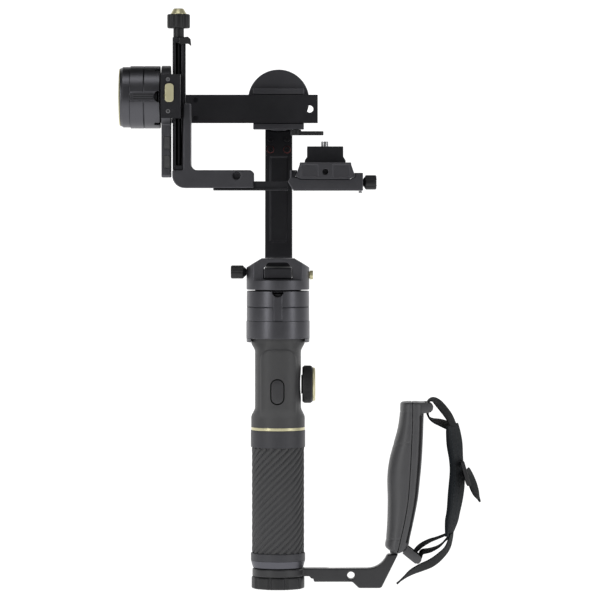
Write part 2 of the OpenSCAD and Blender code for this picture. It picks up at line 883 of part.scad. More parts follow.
module sling_shell_inner() {
  color(graphite) difference() {
    half_grip(-1);
    core_bar(6.1, 11.1);
  }
}

module sling_shell_outer() {
  color(graphite) {
    difference() {
      half_grip(1);
      core_bar(6.1, 11.1);
    }
    intersection() {
      translate([114.4, 0, 152.9]) strap_lug(16.6, 9.6, 9.6);
      block([122.7, -20, 140], [140, 20, 160]);
    }
    lower_lug();
  }
}

// Two cheeks at the foot of the grip, joined by the pin that holds the strap
module lower_lug() {
  for (y = [-lug_w / 2, slot_w / 2]) difference() {
    translate([104, y, 35.6]) rotate([0, 38, 0]) translate([0, 0, -3.8]) cube([20.6, (lug_w - slot_w) / 2, 7.6]);
    block([80, -30, 34.8], [112, 30, 70]);
  }
  pin_y(1.4, -slot_w / 2 - 1, slot_w / 2 + 1, lug_pin[0], lug_pin[1]);
}

// Lines that the strap follows, seen from the front
lug_pin = [117.9, 26.3];
upper_loop = [[148.2, 137.4], [144.6, 145.2], [138.4, 153.4], [134, 157.8], [130.6, 159.6], [127.6, 158.6],
              [126.2, 155], [126.2, 150], [127.4, 145], [131, 142], [137.4, 140], [145, 137.2]];
pad_line = [[146.9, 136.4], [149.4, 122], [151, 106], [151.4, 90.8], [149.6, 72], [147, 57], [144.8, 46]];
lower_loop = concat(
  [[143, 45.6], [135, 42.4], [128, 39.8], [121, 35.8], [116.4, 31]],
  arc(lug_pin[0], lug_pin[1], 2.7, 170, 370, 4),
  [[122, 30.4], [129, 32], [136.4, 35.4], [142, 40.6], [145.6, 44.6]]
);
tail_line = [[147.8, 43.6], [143.6, 34.4], [137, 26.6], [129.6, 21], [121.6, 17.4], [113.6, 13.6],
             [106, 8], [100.6, 2.2]];
end_line = [[160.4, 101], [163.4, 92], [167, 82], [171, 73]];

module strap_run(line, t, w) {
  prism_y(-w / 2, w / 2) polygon(band(smooth(line, 2), t));
}

module strap_webbing() {
  color(webbing) {
    strap_run(upper_loop, 1.6, 20);
    strap_run(lower_loop, 1.6, 20);
    strap_run(tail_line, 1.6, 20);
    strap_run(end_line, 1.6, 20);
  }
}

module strap_pad() {
  color(webbing) strap_run(pad_line, 5, 36);
}

// The buckle lies along the pad's outer face
module at_buckle() {
  translate([158.8, 0, 96]) rotate([0, 74, 0]) children();
}

module strap_buckle() {
  color(black) difference() {
    at_buckle() translate([-12, -13, -1.7]) cube([21, 26, 3.4]);
    at_buckle() for (x = [-8, 1.6]) translate([x, -10.4, -4]) cube([4.4, 20.8, 8]);
  }
}

// ---------- parts ----------

base_knob();
end_cap();
grip_tube();
grip_sleeve();
accent_ring();
battery_cells();
housing_front();
housing_rear();
control_board();
rear_panel();
display_window();
pan_motor_base();
pan_motor_shell();
pan_stator();
sling_arm();
sling_shell_inner();
sling_shell_outer();
strap_webbing();
strap_pad();
strap_buckle();
trigger_button();
control_wheel();
wheel_cap();
joystick_ring();
joystick_cap();
mode_dial();
menu_button();
pan_clamp();
pan_rotor();
pan_lock();
yaw_screw();
yaw_arm();
yaw_arm_screws();
roll_motor_shell();
roll_stator();
roll_clamp();
roll_rotor();
roll_lock();
roll_lever();
roll_arm();
tilt_motor_shell();
tilt_end_cap();
tilt_stator();
tilt_plate();
tilt_rotor();
clamp_block();
port_covers();
tilt_lock();
post_rail();
camera_bracket();
height_knob();
lead_screw();
height_lever();
slide_plate();
qr_base();
qr_knob();
safety_button();
qr_plate();
camera_riser();
camera_screw();
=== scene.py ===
# A handheld three-axis camera gimbal with a sling handle, dressed round its CAD frame.
import math
import random

import bmesh
import bpy
from mathutils import Matrix, Vector
from mathutils.bvhtree import BVHTree


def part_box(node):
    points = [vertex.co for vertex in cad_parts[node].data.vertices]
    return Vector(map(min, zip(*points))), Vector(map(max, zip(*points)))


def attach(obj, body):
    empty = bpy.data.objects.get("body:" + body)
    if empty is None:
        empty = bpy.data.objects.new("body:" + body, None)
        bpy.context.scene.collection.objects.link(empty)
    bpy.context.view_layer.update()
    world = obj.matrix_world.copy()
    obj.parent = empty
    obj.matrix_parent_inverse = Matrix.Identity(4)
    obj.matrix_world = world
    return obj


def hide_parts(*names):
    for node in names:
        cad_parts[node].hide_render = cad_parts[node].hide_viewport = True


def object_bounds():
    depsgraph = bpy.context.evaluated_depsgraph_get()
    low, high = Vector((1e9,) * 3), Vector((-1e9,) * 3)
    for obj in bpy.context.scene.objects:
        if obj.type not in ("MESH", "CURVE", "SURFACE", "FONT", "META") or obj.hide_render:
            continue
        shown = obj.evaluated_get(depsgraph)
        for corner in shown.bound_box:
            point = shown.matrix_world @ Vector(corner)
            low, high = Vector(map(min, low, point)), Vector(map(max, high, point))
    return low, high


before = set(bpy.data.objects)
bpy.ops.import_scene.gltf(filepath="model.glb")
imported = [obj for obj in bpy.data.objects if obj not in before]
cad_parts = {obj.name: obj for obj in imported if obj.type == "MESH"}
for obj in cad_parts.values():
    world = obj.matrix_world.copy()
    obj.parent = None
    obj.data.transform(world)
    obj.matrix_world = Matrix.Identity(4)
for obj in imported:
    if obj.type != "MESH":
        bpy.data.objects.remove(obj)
cad_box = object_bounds()
mm = 0.001

# ---------------------------------------------------------------- Camera, floor and light
# A long portrait lens at eye height with the pan arm, three metres in front, as a product
# shot is taken. The object stands in a round white cove that glows most behind it, between
# two narrow soft boxes and under a third, so that dark metal shows bright lines and dark edges.
low, high = Vector(cad_box[0]), Vector(cad_box[1])
lens_distance = 3.2
camera_data = bpy.data.cameras.new("portrait_lens")
camera_data.lens = 227.2
camera_data.clip_end = 30
camera = bpy.data.objects.new("portrait_lens", camera_data)
camera.location = (0.0186, -lens_distance, 0.3283)
aim = Vector((0.0186, 0, 0.2438)) - camera.location
camera.rotation_euler = aim.to_track_quat("-Z", "Y").to_euler()
bpy.context.scene.collection.objects.link(camera)
bpy.context.scene.camera = camera


def srgb(code):
    """A hex colour as it is seen, turned to the linear values that shaders use."""
    parts = [int(code[i:i + 2], 16) / 255 for i in (1, 3, 5)]
    return tuple(c / 12.92 if c <= 0.04045 else ((c + 0.055) / 1.055) ** 2.4 for c in parts) + (1.0,)


def add(tree, kind, links=(), **settings):
    """Adds one node. Settings whose names are sockets set their values, and links join
    (from socket, to socket name) pairs."""
    made = tree.nodes.new(kind)
    for name, value in settings.items():
        socket = made.inputs.get(name.replace("_", " "))
        if socket is not None:
            socket.default_value = value
        else:
            setattr(made, name, value)
    for source, target in links:
        tree.links.new(source, made.inputs[target])
    return made


def finish_of(name):
    """A new material with its shader, ready for its own nodes."""
    made = bpy.data.materials.new(name)
    made.use_nodes = True
    return made, made.node_tree, made.node_tree.nodes["Principled BSDF"]


def new_piece(name, points, faces, material=None, smooth=False):
    """A mesh object at the origin, made from points and faces."""
    mesh = bpy.data.meshes.new(name)
    mesh.from_pydata(points, [], faces)
    if material is not None:
        mesh.materials.append(material)
    mesh.polygons.foreach_set("use_smooth", [smooth] * len(mesh.polygons))
    made = bpy.data.objects.new(name, mesh)
    bpy.context.scene.collection.objects.link(made)
    return made


room_r, cove_r, wall_top = 5.4, 1.0, 4.5
profile = [(0.0, 0.0), (room_r - cove_r, 0.0)]
profile += [(room_r - cove_r * (1 - math.sin(a)), cove_r * (1 - math.cos(a)))
            for a in (math.radians(6 * i) for i in range(1, 16))]
profile.append((room_r, wall_top))
sides = 96
points, faces = [], []
for r, z in profile:
    points += [(r * math.sin(2 * math.pi * i / sides), r * math.cos(2 * math.pi * i / sides), z)
               for i in range(sides)]
for j in range(len(profile) - 1):
    for i in range(sides):
        a, b = j * sides + i, j * sides + (i + 1) % sides
        faces.append((a, a + sides, b + sides, b))
paper, tree, shader = finish_of("matt_paper")
shader.inputs["Base Color"].default_value = srgb("#9c9c9c")
shader.inputs["Roughness"].default_value = 0.9
shader.inputs["Specular IOR Level"].default_value = 0.1
shader.inputs["Emission Color"].default_value = srgb("#ffffff")
place = add(tree, "ShaderNodeTexCoord")
away = add(tree, "ShaderNodeVectorMath", operation="DISTANCE",
           links=[(place.outputs["Object"], 0)])
away.inputs[1].default_value = (0, 3.2, 1.0)
glow = add(tree, "ShaderNodeMapRange", interpolation_type="SMOOTHSTEP", From_Min=3.4, From_Max=6.0,
           To_Min=0.97, To_Max=0.1, links=[(away.outputs["Value"], "Value")])
tree.links.new(glow.outputs[0], shader.inputs["Emission Strength"])
backdrop = new_piece("paper_sweep", points, faces, paper, smooth=True)

world = bpy.data.worlds.new("studio")
world.use_nodes = True
world.node_tree.nodes["Background"].inputs["Color"].default_value = srgb("#ffffff")
world.node_tree.nodes["Background"].inputs["Strength"].default_value = 0.05
bpy.context.scene.world = world


def soft_box(name, place, target, width, height, power):
    """A rectangular area light that faces a point on the object."""
    data = bpy.data.lights.new(name, "AREA")
    data.shape = "RECTANGLE"
    data.size, data.size_y = width, height
    data.energy = power
    lamp = bpy.data.objects.new(name, data)
    lamp.location = place
    lamp.rotation_euler = (Vector(target) - Vector(place)).to_track_quat("-Z", "Y").to_euler()
    bpy.context.scene.collection.objects.link(lamp)


soft_box("key_box", (-1.5, -1.7, 0.8), (0, 0, 0.25), 0.22, 1.9, 13)
soft_box("edge_box", (1.7, -1.2, 0.8), (0, 0, 0.25), 0.18, 1.7, 9)
soft_box("top_box", (-0.2, -0.7, 2.2), (0, 0, 0.25), 1.2, 0.6, 6)

bpy.context.scene.view_settings.view_transform = "Standard"


# ---------------------------------------------------------------- Grip tube, collars and end cap
# One long aluminium tube with a thicker collar turned at each end. The collars have a soft-touch
# coat, and the end cap below is bare anodised alloy with a bevelled lower edge.
def baked(obj):
    """The object with its modifiers made part of its mesh."""
    graph = bpy.context.evaluated_depsgraph_get()
    mesh = bpy.data.meshes.new_from_object(obj.evaluated_get(graph))
    obj.modifiers.clear()
    obj.data = mesh
    return obj


def strays(work, skin, reach):
    """Whether a face or an edge lies further than reach from the old surface, as one does that
    closes a hole."""
    flat = work.copy()
    bmesh.ops.triangulate(flat, faces=flat.faces)
    spots = [f.calc_center_median() for f in flat.faces]
    spots += [(e.verts[0].co + e.verts[1].co) / 2 for e in flat.edges]
    flat.free()
    return any(skin.find_nearest(spot)[3] > reach for spot in spots)


def edged(node, width, material, body, steps=2, sharpest=32, smooth=True, outer_only=False):
    """A finished copy of a CAD part: loose triangles joined, flat faces made whole, and every
    sharp edge broken by a small round of this width in mm. It stands in for the part. With
    outer_only, inner corners stay sharp, for a part that slides close to its neighbour."""
    limit = 0.6 * width * mm
    # the best-looking way comes first. Where it closes a hole, the triangles stay apart, and
    # where that does too, the rounds shrink to what the shortest edge allows
    for whole_faces, shrink in ((True, False), (False, False), (True, True)):
        work = bmesh.new()
        work.from_mesh(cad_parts[node].data)
        bmesh.ops.remove_doubles(work, verts=work.verts, dist=1e-6)
        skin = BVHTree.FromBMesh(work)
        if whole_faces:
            bmesh.ops.dissolve_limit(work, angle_limit=math.radians(0.6),
                                     use_dissolve_boundaries=False,
                                     verts=work.verts, edges=work.edges)
        for f in work.faces:
            f.material_index = 0
        sharp = [e for e in work.edges if len(e.link_faces) == 2
                 and e.calc_face_angle(0) > math.radians(sharpest)]
        if outer_only:
            sharp = [e for e in sharp if e.is_convex]
        bmesh.ops.bevel(work, geom=sharp, offset=width * mm, segments=steps, profile=0.5,
                        affect="EDGES", clamp_overlap=shrink, miter_outer="ARC",
                        harden_normals=False)
        # a round stays within about a third of its width of the old surface, so a point past
        # that is a needle where short edges met, and goes back to the surface
        for vert in work.verts:
            near, _, _, gap = skin.find_nearest(vert.co)
            if gap > limit:
                vert.co = near
        bmesh.ops.dissolve_degenerate(work, dist=1e-6, edges=work.edges)
        if shrink or not strays(work, skin, 1.2 * limit):
            break
        work.free()
    mesh = bpy.data.meshes.new(node)
    work.to_mesh(mesh)
    work.free()
    mesh.materials.append(material)
    mesh.polygons.foreach_set("use_smooth", [smooth] * len(mesh.polygons))
    mesh.set_sharp_from_angle(angle=math.radians(sharpest))
    made = bpy.data.objects.new(node + "_finished", mesh)
    bpy.context.scene.collection.objects.link(made)
    shading = made.modifiers.new("large_faces_first", "WEIGHTED_NORMAL")
    shading.keep_sharp = True
    baked(made)
    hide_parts(node)
    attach(made, body)
    return made


def dress(material, *nodes):
    """CAD parts whose shape is already right only take their material."""
    for name in nodes:
        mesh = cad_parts[name].data
        mesh.materials.clear()
        mesh.materials.append(material)


def grain_bump(tree, shader, size, depth, strength=1.0):
    """Fine random grain of this size in mm, raised by depth in mm."""
    place = add(tree, "ShaderNodeTexCoord")
    noise = add(tree, "ShaderNodeTexNoise", Scale=1 / (size * mm), Detail=3.0,
                links=[(place.outputs["Object"], "Vector")])
    bump = add(tree, "ShaderNodeBump", Strength=strength, Distance=depth * mm,
               links=[(noise.outputs["Fac"], "Height")])
    tree.links.new(bump.outputs["Normal"], shader.inputs["Normal"])
    return place, noise


def mottle(tree, shader, place, dark, light, size, rough_low, rough_high):
    """Slow changes of tone and roughness across a surface, over size in mm."""
    cloud = add(tree, "ShaderNodeTexNoise", Scale=1 / (size * mm), Detail=4.0,
                links=[(place.outputs["Object"], "Vector")])
    tone = add(tree, "ShaderNodeMix", data_type="RGBA", links=[(cloud.outputs["Fac"], "Factor")])
    tone.inputs[6].default_value = srgb(dark)
    tone.inputs[7].default_value = srgb(light)
    tree.links.new(tone.outputs[2], shader.inputs["Base Color"])
    rough = add(tree, "ShaderNodeMapRange", To_Min=rough_low, To_Max=rough_high,
                links=[(cloud.outputs["Fac"], "Value")])
    tree.links.new(rough.outputs["Result"], shader.inputs["Roughness"])


# soft-touch coat: a rubbery matt film with the faintest orange peel
soft_touch, tree, shader = finish_of("soft_touch_coat")
place, _ = grain_bump(tree, shader, 0.35, 0.02)
mottle(tree, shader, place, "#343438", "#3b3b40", 9, 0.44, 0.56)

# bead-blasted aluminium, anodised dark grey with a trace of violet: satin, sparkling grain
blasted_alloy, tree, shader = finish_of("blasted_anodised_aluminium")
shader.inputs["Metallic"].default_value = 1.0
place, _ = grain_bump(tree, shader, 0.22, 0.012)
mottle(tree, shader, place, "#5c5c62", "#66666c", 14, 0.36, 0.46)

edged("grip_tube", 0.5, soft_touch, "handle")
edged("end_cap", 0.35, blasted_alloy, "handle")


# ---------------------------------------------------------------- Ribbed grip sleeve
# Moulded matt rubber, pushed over the tube between the collars. Twenty-one round ribs climb to
# the right at about forty degrees, so the palm doesn't slip; the grooves between hold the shade.
def number_input(tree, name, kind="NodeSocketFloat"):
    return tree.interface.new_socket(name=name, in_out="INPUT", socket_type=kind)


def growing_tree(name, *inputs):
    """An empty Geometry Nodes tree with a geometry in and out and these number inputs."""
    tree = bpy.data.node_groups.new(name, "GeometryNodeTree")
    tree.interface.new_socket(name="Geometry", in_out="INPUT", socket_type="NodeSocketGeometry")
    for words in inputs:
        number_input(tree, *words) if isinstance(words, tuple) else number_input(tree, words)
    tree.interface.new_socket(name="Geometry", in_out="OUTPUT", socket_type="NodeSocketGeometry")
    return tree, add(tree, "NodeGroupInput")


def close_tree(tree, geometry, material, smooth=True):
    """Ends a tree: instances made real, shaded, given their material and sent out."""
    real = add(tree, "GeometryNodeRealizeInstances", links=[(geometry, "Geometry")])
    shaded = add(tree, "GeometryNodeSetShadeSmooth", links=[(real.outputs[0], "Geometry")])
    shaded.inputs["Shade Smooth"].default_value = smooth
    painted = add(tree, "GeometryNodeSetMaterial", links=[(shaded.outputs[0], "Geometry")])
    painted.inputs["Material"].default_value = material
    add(tree, "NodeGroupOutput", links=[(painted.outputs[0], "Geometry")])


def grown(name, tree, base, material, slot, body, **sizes):
    """Runs a tree on a base mesh, once, and keeps the plain mesh it gives."""
    seed = new_piece(name + "_seed", *base)
    modifier = seed.modifiers.new("grow", "NODES")
    modifier.node_group = tree
    keys = {s.name: s.identifier for s in tree.interface.items_tree if s.in_out == "INPUT"}
    for words, value in sizes.items():
        modifier[keys[words.replace("_", " ")]] = value
    graph = bpy.context.evaluated_depsgraph_get()
    mesh = bpy.data.meshes.new_from_object(seed.evaluated_get(graph))
    seed.modifiers.clear()
    bpy.data.objects.remove(seed)
    mesh.name = name
    mesh.materials.clear()
    mesh.materials.append(material)
    mesh.polygons.foreach_set("material_index", [0] * len(mesh.polygons))
    made = bpy.data.objects.new(name, mesh)
    bpy.context.scene.collection.objects.link(made)
    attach(made, body)
    return made


def lathe(outline, turns=96, start=0.0):
    """Points and faces of a turned body on Z, from (radius, height) pairs in mm."""
    points, faces = [], []
    for r, z in outline:
        for i in range(turns):
            a = start + 2 * math.pi * i / turns
            points.append((r * mm * math.cos(a), r * mm * math.sin(a), z * mm))
    rows = len(outline)
    for j in range(rows - 1):
        for i in range(turns):
            k = (i + 1) % turns
            faces.append((j * turns + i, j * turns + k, (j + 1) * turns + k, (j + 1) * turns + i))
    return points, faces


moulded_rubber, tree, shader = finish_of("moulded_rubber")
place, _ = grain_bump(tree, shader, 0.3, 0.03)
mottle(tree, shader, place, "#3d3d3e", "#474748", 6, 0.62, 0.74)

sleeve_low, sleeve_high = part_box("grip_sleeve")
sleeve_foot, sleeve_head = sleeve_low[2] / mm, sleeve_high[2] / mm
sleeve_r = sleeve_high[0] / mm
tree, given = growing_tree("helical_ribs", ("Ribs", "NodeSocketInt"), "Foot", "Height",
                           "Path Radius", "Rib Radius", "Twist")
path = add(tree, "GeometryNodeCurvePrimitiveLine", End=(0, 0, 1))
fine = add(tree, "GeometryNodeResampleCurve", Count=56, links=[(path.outputs[0], "Curve")])
along = add(tree, "GeometryNodeSplineParameter")
angle = add(tree, "ShaderNodeMath", operation="MULTIPLY",
            links=[(along.outputs["Factor"], 0), (given.outputs["Twist"], 1)])
cosine = add(tree, "ShaderNodeMath", operation="COSINE", links=[(angle.outputs[0], 0)])
sine = add(tree, "ShaderNodeMath", operation="SINE", links=[(angle.outputs[0], 0)])
climb = add(tree, "ShaderNodeMath", operation="MULTIPLY_ADD", links=[
    (along.outputs["Factor"], 0), (given.outputs["Height"], 1), (given.outputs["Foot"], 2)])
east = add(tree, "ShaderNodeMath", operation="MULTIPLY",
           links=[(cosine.outputs[0], 0), (given.outputs["Path Radius"], 1)])
north = add(tree, "ShaderNodeMath", operation="MULTIPLY",
            links=[(sine.outputs[0], 0), (given.outputs["Path Radius"], 1)])
spot = add(tree, "ShaderNodeCombineXYZ",
           links=[(east.outputs[0], "X"), (north.outputs[0], "Y"), (climb.outputs[0], "Z")])
helix = add(tree, "GeometryNodeSetPosition",
            links=[(fine.outputs[0], "Geometry"), (spot.outputs[0], "Position")])
section = add(tree, "GeometryNodeCurvePrimitiveCircle", Resolution=10,
              links=[(given.outputs["Rib Radius"], "Radius")])
rib = add(tree, "GeometryNodeCurveToMesh",
          links=[(helix.outputs[0], "Curve"), (section.outputs[0], "Profile Curve")])
places = add(tree, "GeometryNodePoints", links=[(given.outputs["Ribs"], "Count")])
number = add(tree, "GeometryNodeInputIndex")
share = add(tree, "ShaderNodeMath", operation="DIVIDE",
            links=[(number.outputs[0], 0), (given.outputs["Ribs"], 1)])
turn = add(tree, "ShaderNodeMath", operation="MULTIPLY", links=[(share.outputs[0], 0)])
turn.inputs[1].default_value = 2 * math.pi
facing = add(tree, "ShaderNodeCombineXYZ", links=[(turn.outputs[0], "Z")])
ring = add(tree, "GeometryNodeInstanceOnPoints", links=[
    (places.outputs[0], "Points"), (rib.outputs[0], "Instance"), (facing.outputs[0], "Rotation")])
whole = add(tree, "GeometryNodeJoinGeometry", links=[(ring.outputs[0], "Geometry"),
                                                    (given.outputs["Geometry"], "Geometry")])
close_tree(tree, whole.outputs[0], moulded_rubber)

rib_r = 2.05
ribs = 21
sleeve_h = sleeve_head - sleeve_foot
skin = [(sleeve_r - 1.9, sleeve_foot), (sleeve_r - 0.95, sleeve_foot), (sleeve_r - 0.95, sleeve_head),
        (sleeve_r - 1.9, sleeve_head)]
sleeve = grown("ribbed_sleeve", tree, lathe(skin), moulded_rubber, "grip_rubber", "handle",
               Ribs=ribs, Foot=sleeve_foot * mm, Height=sleeve_h * mm, Path_Radius=(sleeve_r - rib_r) * mm,
               Rib_Radius=rib_r * mm, Twist=sleeve_h / math.tan(math.radians(42)) / sleeve_r)
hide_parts("grip_sleeve")


# ---------------------------------------------------------------- Accent ring
# A turned ring of aluminium, anodised pale champagne, let in between grip and housing. It is the
# brightest line on the handle, so its edges are broken only slightly.
champagne, tree, shader = finish_of("champagne_anodised_aluminium")
shader.inputs["Metallic"].default_value = 0.45
place, _ = grain_bump(tree, shader, 0.3, 0.006)
mottle(tree, shader, place, "#d2cca2", "#dfd9b4", 5, 0.28, 0.36)
edged("accent_ring", 0.3, champagne, "handle")


# ---------------------------------------------------------------- Cells, board and motor cores
# What the casings hide: three cells in shrink wrap, a soldered board, and in each motor a stack
# of steel plates wound with enamelled copper wire round a turned rotor bell.
shrink_wrap, tree, shader = finish_of("shrink_wrap_film")
place, _ = grain_bump(tree, shader, 2.0, 0.02)
mottle(tree, shader, place, "#1d4f8c", "#2a61a3", 12, 0.25, 0.35)
solder_mask, tree, shader = finish_of("solder_mask")
place, _ = grain_bump(tree, shader, 0.8, 0.05)
mottle(tree, shader, place, "#0f3d22", "#1c5a34", 1.5, 0.3, 0.5)
enamelled_wire, tree, shader = finish_of("enamelled_copper_wire")
shader.inputs["Metallic"].default_value = 1.0
place = add(tree, "ShaderNodeTexCoord")
turns = add(tree, "ShaderNodeTexWave", Scale=1 / (4 * mm), wave_type="RINGS",
            links=[(place.outputs["Object"], "Vector")])
bump = add(tree, "ShaderNodeBump", Distance=0.1 * mm, links=[(turns.outputs["Fac"], "Height")])
tree.links.new(bump.outputs["Normal"], shader.inputs["Normal"])
mottle(tree, shader, place, "#a8612f", "#c27a44", 3, 0.3, 0.42)
turned_steel, tree, shader = finish_of("turned_steel")
shader.inputs["Metallic"].default_value = 1.0
place, _ = grain_bump(tree, shader, 0.25, 0.008)
mottle(tree, shader, place, "#a9a9ab", "#bcbcbe", 4, 0.24, 0.34)
black_steel, tree, shader = finish_of("black_oxide_steel")
shader.inputs["Metallic"].default_value = 1.0
place, _ = grain_bump(tree, shader, 0.3, 0.01)
mottle(tree, shader, place, "#3a3a3c", "#454547", 4, 0.35, 0.45)
dress(shrink_wrap, "battery_cells")
dress(solder_mask, "control_board")
dress(enamelled_wire, "pan_stator", "roll_stator", "tilt_stator")
dress(black_steel, "pan_rotor", "roll_rotor", "tilt_rotor")


# ---------------------------------------------------------------- Control housing
# Two injection-moulded shells of glass-filled nylon with a fine spark-eroded texture, parted
# along the sides. The section is a soft square that flares to a round flange at both ends, and
# the front carries a raised panel round the trigger button.
textured_nylon, tree, shader = finish_of("textured_nylon")
place, _ = grain_bump(tree, shader, 0.28, 0.022)
mottle(tree, shader, place, "#3c3c3d", "#434344", 11, 0.46, 0.56)

shell_low, shell_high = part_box("housing_front")
foot_z, head_z = shell_low[2] / mm, shell_high[2] / mm
flange_r = shell_high[0] / mm
waist = 19.45
rear_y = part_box("housing_rear")[1][1] / mm
lower_flare = (144.4, 153.4)
upper_flare = (200.2, 208.6)
panel_middle = (0.5, 172.0)
panel_half = (15.2, 30.6)
panel_corner = 9.0
panel_rise = 0.9
wall = 3.2


def ease(low_end, high_end, value):
    """Smooth step from 0 at the low end to 1 at the high end."""
    t = min(max((value - low_end) / (high_end - low_end), 0), 1)
    return t * t * (3 - 2 * t)


def rounded_distance(x, z, half, corner):
    """Distance from a rectangle with round corners, negative inside."""
    dx, dz = abs(x) - half[0] + corner, abs(z) - half[1] + corner
    outside = math.hypot(max(dx, 0), max(dz, 0))
    return outside + min(max(dx, dz), 0) - corner


def housing_skin(front, columns, rows):
    """Outer skin of one half, as a grid from the +X side round to the -X side."""
    points, faces = [], []
    for j in range(rows + 1):
        z = foot_z + (head_z - foot_z) * j / rows
        slim = ease(*lower_flare, z) * (1 - ease(*upper_flare, z))
        a = flange_r + (waist - flange_r) * slim
        square = 2 + (0.7 if front else 1.6) * slim
        b = flange_r if front else flange_r + (rear_y - flange_r) * slim
        for i in range(columns + 1):
            t = math.pi * i / columns
            x = a * math.copysign(abs(math.cos(t)) ** (2 / square), math.cos(t))
            y = b * math.sin(t) ** (2 / square)
            if front:
                edge = rounded_distance(x - panel_middle[0], z - panel_middle[1], panel_half, panel_corner)
                y += panel_rise * (1 - ease(-0.9, 0.5, edge)) * slim
            y = min(y, rear_y) if not front else y
            points.append((x * mm, (-y if front else y) * mm, z * mm))
    for j in range(rows):
        for i in range(columns):
            k = j * (columns + 1) + i
            quad = (k, k + 1, k + columns + 2, k + columns + 1)
            faces.append(quad if not front else quad[::-1])
    return points, faces


def stadium(w, h, r, y, middle=(0, 0), corners=8):
    """A loop of points round a rectangle with round corners, facing the front."""
    loop = []
    for quarter, (sx, sz) in enumerate(((1, 1), (-1, 1), (-1, -1), (1, -1))):
        for i in range(corners + 1):
            a = math.pi / 2 * (quarter + i / corners)
            loop.append(((middle[0] + sx * (w / 2 - r) + r * math.cos(a)) * mm, y * mm,
                         (middle[1] + sz * (h / 2 - r) + r * math.sin(a)) * mm))
    return loop


def stacked(loops, closed_ends=True):
    """Points and faces of a solid from loops of equally many points, first to last."""
    n = len(loops[0])
    points = [p for loop in loops for p in loop]
    faces = [(j * n + i, j * n + (i + 1) % n, (j + 1) * n + (i + 1) % n, (j + 1) * n + i)
             for j in range(len(loops) - 1) for i in range(n)]
    if closed_ends:
        faces.append(tuple(range(n))[::-1])
        faces.append(tuple((len(loops) - 1) * n + i for i in range(n)))
    return points, faces


def outward(obj):
    """Turns every face of a closed mesh outwards."""
    work = bmesh.new()
    work.from_mesh(obj.data)
    bmesh.ops.recalc_face_normals(work, faces=work.faces)
    work.to_mesh(obj.data)
    work.free()
    return obj


def cut(obj, *tools):
    """Takes each tool's solid away from obj, and the tools with it."""
    for tool in tools:
        modifier = obj.modifiers.new("cut", "BOOLEAN")
        modifier.operation = "DIFFERENCE"
        modifier.solver = "EXACT"
        modifier.object = tool
    baked(obj)
    for tool in tools:
        bpy.data.objects.remove(tool)
    return obj


def finished(obj, slot, body, *nodes):
    if nodes:
        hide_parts(*nodes)
    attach(obj, body)
    return obj


def shelled(name, skin, thickness, material):
    """A skin given a wall towards its inside."""
    made = new_piece(name, *skin, material, smooth=True)
    modifier = made.modifiers.new("wall", "SOLIDIFY")
    modifier.thickness = thickness * mm
    modifier.offset = -1
    modifier.use_even_offset = False
    return baked(made)


trigger_low, trigger_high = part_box("trigger_button")
trigger_middle = ((trigger_low[0] + trigger_high[0]) / 2 / mm, (trigger_low[2] + trigger_high[2]) / 2 / mm)
slot_tool = new_piece("slot_tool", *stacked([stadium(12.0, 22.0, 5.95, y, trigger_middle)
                                             for y in (-30, -12)]))
wheel_z = (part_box("control_wheel")[0][2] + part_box("control_wheel")[1][2]) / 2 / mm
dish_r, dish_depth = 34.0, 2.4


def dish_tool():
    """A ball that hollows the housing's side round the control wheel."""
    ball = bmesh.new()
    bmesh.ops.create_uvsphere(ball, u_segments=64, v_segments=32, radius=dish_r * mm)
    bmesh.ops.translate(ball, verts=ball.verts,
                        vec=((waist + dish_r - dish_depth) * mm, 0, wheel_z * mm))
    mesh = bpy.data.meshes.new("dish_tool")
    ball.to_mesh(mesh)
    ball.free()
    made = bpy.data.objects.new("dish_tool", mesh)
    bpy.context.scene.collection.objects.link(made)
    return made


front_shell = shelled("housing_front_shell", housing_skin(True, 96, 120), wall, textured_nylon)
cut(front_shell, outward(slot_tool), dish_tool())
front_shell.data.set_sharp_from_angle(angle=math.radians(35))
finished(front_shell, "housing_plastic", "handle", "housing_front")

rear_shell = shelled("housing_rear_shell", housing_skin(False, 64, 90), wall, textured_nylon)
panel_low, panel_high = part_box("rear_panel")
panel_z = (panel_low[2] + panel_high[2]) / 2 / mm
pocket = new_piece("pocket_tool", *stacked([stadium(21.4, 66.4, 3.2, y, (0, panel_z))
                                            for y in (17.9, 30)]))
window = new_piece("window_tool", *stacked([stadium(17, 60, 2, y, (0, panel_z)) for y in (8, 30)]))
cut(rear_shell, outward(pocket), outward(window), dish_tool())
rear_shell.data.set_sharp_from_angle(angle=math.radians(35))
finished(rear_shell, "housing_plastic", "handle", "housing_rear")


# ---------------------------------------------------------------- Trigger button
# One pill-shaped cap of the same nylon, domed to follow the housing, with a narrow dark gap all
# round it. It is moulded smoother than the housing, so it catches a little more light.
smooth_nylon, tree, shader = finish_of("smooth_nylon")
place, _ = grain_bump(tree, shader, 0.4, 0.008)
mottle(tree, shader, place, "#343436", "#3a3a3c", 6, 0.34, 0.42)


def pill(name, w, h, front_y, back_y, middle, dome, round_off, material):
    """A domed pill from rings that shrink towards the front."""
    r = w / 2 - 0.05
    rings = [stadium(w, h, r, back_y, middle), stadium(w, h, r, front_y + dome + round_off, middle)]
    for a in (22, 45, 67, 90):
        inset = round_off * (1 - math.cos(math.radians(a)))
        lift = round_off * (1 - math.sin(math.radians(a)))
        rings.append(stadium(w - 2 * inset, h - 2 * inset, r - inset, front_y + dome + lift, middle))
    for share in (0.3, 0.6, 0.85):
        inset = round_off + (r - round_off) * share
        rings.append(stadium(w - 2 * inset, h - 2 * inset, r - inset,
                             front_y + dome * (1 - share) ** 2, middle))
    return outward(new_piece(name, *stacked(rings), material, smooth=True))


